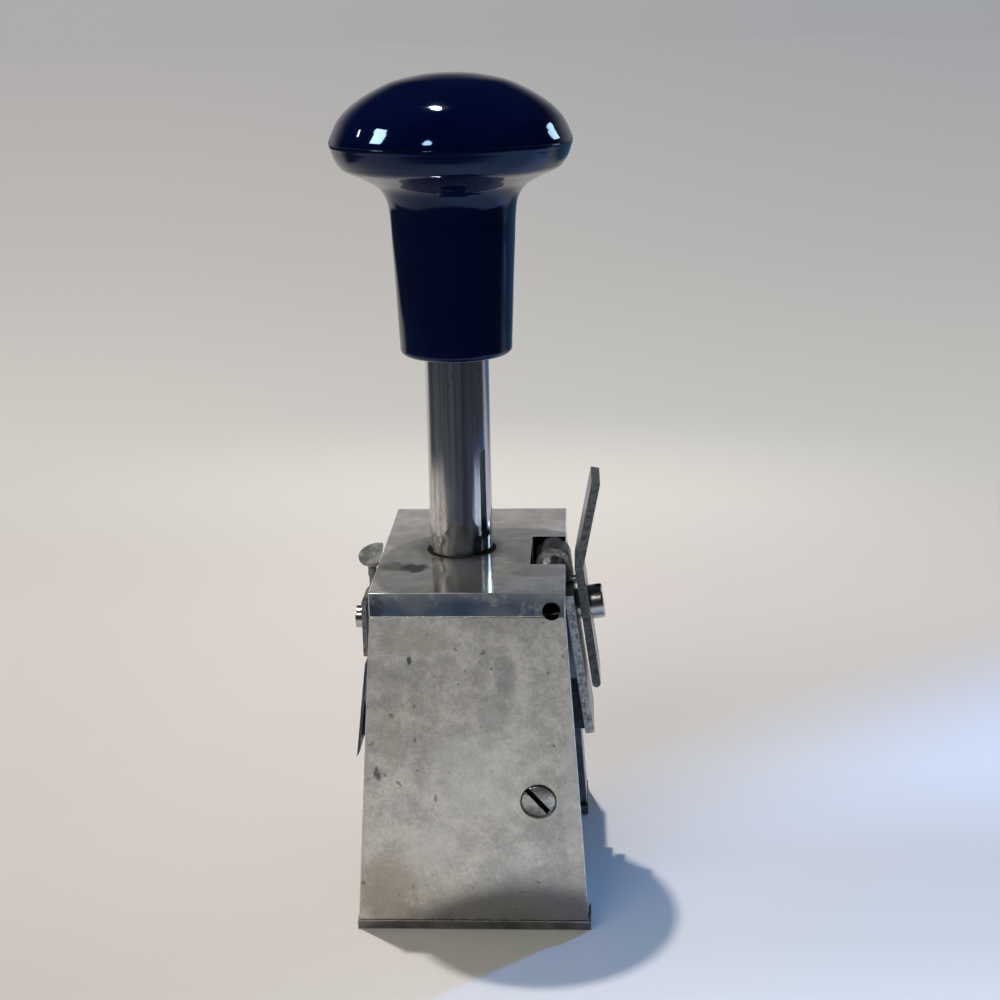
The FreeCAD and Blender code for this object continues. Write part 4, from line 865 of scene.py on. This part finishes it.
# Every other piece is the frame's own solid with rounded, rubbed corners
def dress_all():
    # Slots and pin holes get the near-black third look: painted shade.
    dress("top_head", ["head", "head_painted_glint", "slot"], bevel=0.3, segments=4,
          hollow=((RIGHT_PIN_X, -27.5, RIGHT_PIN_Z), (0, -1, 0), 2.4), long_first=True)
    dress("front_plate", ["plate", "bright", "slot"], bevel=0.2, segments=2,
          hollow=((RIGHT_PIN_X, -28.1, RIGHT_PIN_Z), (0, -1, 0), 2.4), long_first=True)
    dress("rear_plate", ["rear", "bright"], bevel=0.25, segments=2, long_first=True)
    dress("base_plate", ["base", "bright"], bevel=0.12, segments=2, long_first=True)
    for side in ("left", "right"):
        dress("rear_leg_" + side, ["leg", "dark_edge"], bevel=0.2, long_first=True)
        for name, bevel in (("cheek_", 0.15), ("carriage_plate_", 0.15), ("pad_arm_", 0.12)):
            dress(name + side, ["cheek", "dark_edge"], bevel=bevel)
    for name, bevel in (("front_bracket", 0.2), ("feed_arms", 0.1), ("feed_pawls", 0.08)):
        dress(name, ["cheek", "dark_edge"], bevel=bevel)
    for name, bevel in (("carriage_bridge", 0.2), ("pad_tray", 0.1)):
        dress(name, ["cheek", "dark_edge"], bevel=bevel, long_first=True)
    for name, bevel in (("lever_lug", 0.15), ("left_lever_block", 0.12)):
        dress(name, ["lug", "dark_edge"], bevel=bevel, long_first=True)
    for name in ("rear_screws", "base_screws", "carriage_screws"):
        dress(name, ["screw", "bright"], bevel=0.08, segments=2)
    dress("front_screw", ["turned", "dark_edge", "slot"], bevel=0.08, segments=2,
          hollow=((13.4, -30.28, 27.8), (0, -64.1, 3.5), 3.3))
    dress("left_lever_screw", ["screw", "bright", "slot"], bevel=0.08, segments=2,
          hollow=((-25.5, 0, 55.5), (-1, 0, 0), 2.2))
    dress("lever_screw", ["screw", "bright", "slot"], bevel=0.18, segments=3,
          hollow=((26.7, -2.28, 59.9), (0.9905, 0, 0.1374), 3.4))
    dress("lever_washer", ["screw", "bright"], bevel=0.1)
    dress("right_pivot_pin", ["pin", "bright", "slot"], bevel=0.12, segments=2,
          hollow=((RIGHT_PIN_X, -14.7, RIGHT_PIN_Z), (0, 1, 0), 2.4))
    for name in ("guide_rods", "left_pivot_pin", "wheel_axle", "detent_rod", "feed_bar",
                 "cam_pins", "lever_dowel"):
        dress(name, ["pin", "bright"], bevel=0.12, segments=2)
    dress("detent_springs", ["spring", "dark_edge"], bevel=0.06)
    dress("buffer_washer", ["rubber"], bevel=0.0)
    dress("right_strap", ["lever", "dark_edge", "sheared"], bevel=0.16, faces=(0, 1, 0))
    dress("finger_lever", ["lever", "dark_edge", "finger_edge"], bevel=0.3, segments=3,
          faces=(0, 1, 0))
    dress("left_bracket", ["leg", "dark_edge"], bevel=0.1)
    dress("left_arm", ["blade", "dark_edge"], bevel=0.08)
    dress("thumb_plate", ["thumb", "bright", "thumb_edge"], bevel=0.1, faces=(0, 1, 0))
    dress("thumb_disc", ["thumb", "bright"], bevel=0.0)


dress_all()
build_knob()
build_stem()
build_springs()
build_pad()
for wheel in range(6):
    build_wheel(wheel)


# Floor: a wide pale sweep that fades into the backdrop's tone far behind the object; there it glows instead of
# taking light, and its tones carry painted light.
# Each stop is a share of how far down the photograph's view it lies and the tone there.
FAR_LEFT = rgb(0.424, 0.413, 0.413)
FAR_RIGHT = rgb(0.352, 0.362, 0.381)
# Tones of the glowing far floor: a painted gradient of light, darker towards the horizon.
GLOW_LEFT = ((0.0, FAR_LEFT), (0.20, rgb(0.52, 0.497, 0.473)), (0.384, rgb(0.638, 0.617, 0.578)))
GLOW_RIGHT = ((0.0, FAR_RIGHT), (0.20, rgb(0.44, 0.44, 0.44)), (0.384, rgb(0.552, 0.546, 0.521)))
# Tones of the near paper, with painted light: darker towards the front on the left, and on the right bluer
# with a darker band, standing in for how the lamps fall off.
PAPER_LEFT_PAINTED_LIGHT = ((0.384, rgb(0.80, 0.76, 0.70)), (0.53, rgb(0.785, 0.745, 0.69)), (0.62, rgb(0.77, 0.73, 0.675)),
              (0.75, rgb(0.72, 0.685, 0.63)), (0.85, rgb(0.69, 0.655, 0.60)), (0.96, rgb(0.64, 0.61, 0.56)))
PAPER_RIGHT_PAINTED_LIGHT = ((0.384, rgb(0.76, 0.755, 0.74)), (0.53, rgb(0.74, 0.74, 0.73)), (0.61, rgb(0.68, 0.69, 0.68)),
               (0.70, rgb(0.68, 0.70, 0.67)), (0.80, rgb(0.59, 0.59, 0.54)), (0.90, rgb(0.62, 0.64, 0.59)),
               (0.97, rgb(0.71, 0.74, 0.70)))


# The share down the view is VIEW_DROP over the distance from the camera, which is VIEW_BACK metres in front
VIEW_DROP = 0.252
VIEW_BACK = 0.316
FLOOR_HALF = 12.0


def build_floor():
    bm = bmesh.new()
    bmesh.ops.create_grid(bm, x_segments=24, y_segments=24, size=FLOOR_HALF)
    floor = add_mesh("floor", bm)
    look = Look("floor_paper", Roughness=0.6)
    split = look.node("ShaderNodeSeparateXYZ", Vector=look.place)
    x, y = split.outputs["X"], split.outputs["Y"]
    down = look.math("DIVIDE", VIEW_DROP, look.math("ADD", look.math("MAXIMUM", y, -0.2), VIEW_BACK))

    def tones(stops):
        made = look.node("ShaderNodeValToRGB", Fac=down)
        elements = made.color_ramp.elements
        for element, (share, tone) in zip([elements[0], elements[1]], (stops[0], stops[-1])):
            element.position, element.color = share, tone
        for share, tone in stops[1:-1]:
            elements.new(share).color = tone
        return made.outputs["Color"]

    ratio = look.math("DIVIDE", x, look.math("ADD", look.math("ABSOLUTE", y), 0.32))
    side = look.ramp(ratio, -0.3, 0.35)
    near = look.blend(side, tones(PAPER_LEFT_PAINTED_LIGHT), tones(PAPER_RIGHT_PAINTED_LIGHT))
    paper = look.noise(9, 3, 0.5)
    near = look.blend(look.ramp(paper, 0.35, 0.65, 0.0, 0.05), near, rgb(0.6, 0.6, 0.62))
    far = look.blend(side, tones(GLOW_LEFT), tones(GLOW_RIGHT))
    # A painted pool of light on the floor behind the machine.
    painted_light_pool = look.math("MULTIPLY", look.spot((-5, 235, 0), (260, 190, 100)), 0.75)
    near, far = (look.blend(painted_light_pool, tone, rgb(0.85, 0.815, 0.765)) for tone in (near, far))
    # Painted falloff of light: the near floor up to 7% darker towards the left.
    near = look.blend(look.ramp(x, -0.14, -0.03, 0.07, 0.0), near, rgb(0, 0, 0))
    # In reflections only, the floor is dark beside and in front of the machine, cool and dim at the right,
    # and bright in one patch at the rear right
    glossy = look.node("ShaderNodeLightPath").outputs["Is Glossy Ray"]
    reach = look.node("ShaderNodeVectorMath", {"operation": "LENGTH"}, i0=look.place).outputs["Value"]
    slant = look.math("DIVIDE", y, look.math("ADD", look.math("ABSOLUTE", x), 0.001))
    slant = look.math("ADD", slant, look.ramp(x, -0.05, 0.05, 0.12, 0.38))
    beside = look.math("MULTIPLY", look.ramp(reach, 0.29, 0.35), look.ramp(slant, 0.55, 0.95, 1.0, 0.0))
    beside = look.math("MAXIMUM", beside, look.ramp(x, -0.50, -0.42, 1.0, 0.0))
    dim = look.math("MAXIMUM", look.ramp(y, -0.20, -0.12, 1.0, 0.0), beside)
    pane = look.math("MULTIPLY", look.spot((620, 290, 0), (150, 70, 100)), glossy)
    dim = look.math("MULTIPLY", dim, glossy)
    cool = look.math("MULTIPLY", look.ramp(x, 0.12, 0.24), glossy)
    far = look.blend(cool, far, rgb(0.075, 0.15, 0.26))
    near = look.blend(dim, near, rgb(0.05, 0.06, 0.08))
    far = look.blend(dim, far, rgb(0.03, 0.037, 0.05))
    far = look.blend(pane, far, rgb(0.35, 0.62, 1.1))
    look.feed("Base Color", near)
    # Far behind the machine the floor glows with these tones instead of taking light.
    glow = look.node("ShaderNodeEmission", Color=far)
    share = look.ramp(y, 0.15, 0.33)
    mixed = look.node("ShaderNodeMixShader", i0=share, i1=look.shader.outputs[0], i2=glow.outputs[0])
    look.tree.links.new(mixed.outputs[0], look.tree.nodes["Material Output"].inputs["Surface"])
    floor.data.materials.append(look.material)


build_floor()


# Light: a soft room, a key lamp nearly overhead, a front fill, a blue beam, and small bright panes that
# are seen only in reflections
def build_world():
    """Pale walls behind and a dark room elsewhere, and for diffuse rays an even ambient light."""
    world = bpy.data.worlds.new("room")
    world.use_nodes = True
    bpy.context.scene.world = world
    room = Nodes(world.node_tree)
    place = room.node("ShaderNodeTexCoord").outputs["Generated"]
    x, y, z = room.node("ShaderNodeSeparateXYZ", Vector=place).outputs
    dark, ambient = rgb(0.012, 0.015, 0.024), rgb(0.17, 0.17, 0.165)
    ratio = room.math("DIVIDE", x, room.math("ABSOLUTE", y))
    pale = room.blend(room.ramp(ratio, -0.3, 0.35), FAR_LEFT, FAR_RIGHT)
    walls = room.blend(room.ramp(y, 0.5, 0.85), dark, pale)
    tone = room.blend(room.ramp(z, 0.12, 0.50), walls, dark)
    rays = room.node("ShaderNodeLightPath").outputs
    seen = room.math("MAXIMUM", rays["Is Camera Ray"], rays["Is Glossy Ray"])
    seen = room.math("MAXIMUM", seen, rays["Is Transmission Ray"])
    back = room.tree.nodes["Background"]
    room.plug(back.inputs["Color"], room.blend(seen, ambient, tone))
    back.inputs["Strength"].default_value = 1.0


LAMP_AIM = (0, 0, 0.09)


def add_lamp(name, toward, distance, size, watts, colour, gloss_only=False, no_gloss=False,
             shape="RECTANGLE", roll=0.0):
    """A soft flat lamp in a direction from the machine, turned to face it."""
    light = bpy.data.lights.new(name, "AREA")
    light.shape = shape
    light.size, light.size_y = size
    light.energy = watts
    light.color = colour
    lamp = add_object(name, light)
    aim = Vector(LAMP_AIM)
    lamp.location = aim + Vector(toward).normalized() * distance
    facing = (aim - lamp.location).to_track_quat("-Z", "Y")
    lamp.rotation_euler = (facing @ Quaternion((0, 0, 1), roll)).to_euler()
    lamp.visible_diffuse = not gloss_only
    lamp.visible_glossy = not no_gloss


def add_beam(place, aim, width, watts, colour):
    """A narrow beam whose one side leaves a straight border on the floor; width is its angle."""
    light = bpy.data.lights.new("right_beam", "SPOT")
    light.spot_size = width
    light.spot_blend = 0.15
    light.shadow_soft_size = 0.03
    light.energy = watts
    light.color = colour
    lamp = add_object("right_beam", light)
    lamp.location = place
    lamp.rotation_euler = (Vector(aim) - Vector(place)).to_track_quat("-Z", "Y").to_euler()
    lamp.visible_glossy = False


build_world()
add_lamp("key", (-0.1004, 0.1459, 0.984), 0.946, (0.017, 0.017), 7.1, (1.0, 0.945, 0.965), no_gloss=True)
add_lamp("front_fill", (-0.45, -0.72, 0.52), 1.1, (0.8, 0.6), 3.5, (1.0, 0.98, 0.93), no_gloss=True)
add_beam((0.620, 0.482, 0.30), (0.145, -0.132, 0.0), math.radians(27.3), 31.0, (0.10, 0.36, 1.0))
add_lamp("top_pane", (-0.122, 0.20, 0.972), 0.95, (0.06, 0.105), 5.0, (1.0, 0.98, 0.95), gloss_only=True,
         shape="ELLIPSE")
add_lamp("left_pane", (-0.789, -0.188, 0.585), 0.8, (0.16, 0.17), 2.6, (1.0, 0.99, 0.97), gloss_only=True,
         roll=0.12)
add_lamp("right_pane", (0.77, 0.525, 0.362), 0.9, (0.18, 0.19), 1.2, (0.66, 0.88, 1.0), gloss_only=True)
add_lamp("front_spot", (-0.267, -0.729, 0.631), 0.8, (0.10, 0.16), 1.2, (1.0, 0.96, 0.90), gloss_only=True,
         shape="ELLIPSE")
add_lamp("left_spot", (-0.843, 0.204, 0.498), 0.945, (0.03, 0.03), 0.08, (1.0, 0.98, 0.94), gloss_only=True,
         shape="ELLIPSE")


# Camera: the photograph's view, solved from the straight edges of the machine
CAMERA_PLACE = (21.60, -316.08, 176.54)
SENSOR_WIDTH = 36.0
FOCAL_LENGTH = 57.6


def build_camera():
    forward = Vector((-0.04893326, 0.95615763, -0.28873539))
    right = Vector((0.99878739, 0.04527695, -0.01933266))
    up = Vector((0.00541201, 0.28933128, 0.95721373))
    data = bpy.data.cameras.new("view")
    data.sensor_fit = "HORIZONTAL"
    data.sensor_width = SENSOR_WIDTH
    data.lens = FOCAL_LENGTH
    data.clip_start = 0.01
    data.clip_end = 100.0
    camera = add_object("view", data)
    turn = Matrix((right, up, -forward)).transposed().to_4x4()
    camera.matrix_world = Matrix.Translation(Vector(CAMERA_PLACE) * MM) @ turn
    bpy.context.scene.camera = camera


build_camera()
bpy.context.scene.view_settings.view_transform = "Standard"
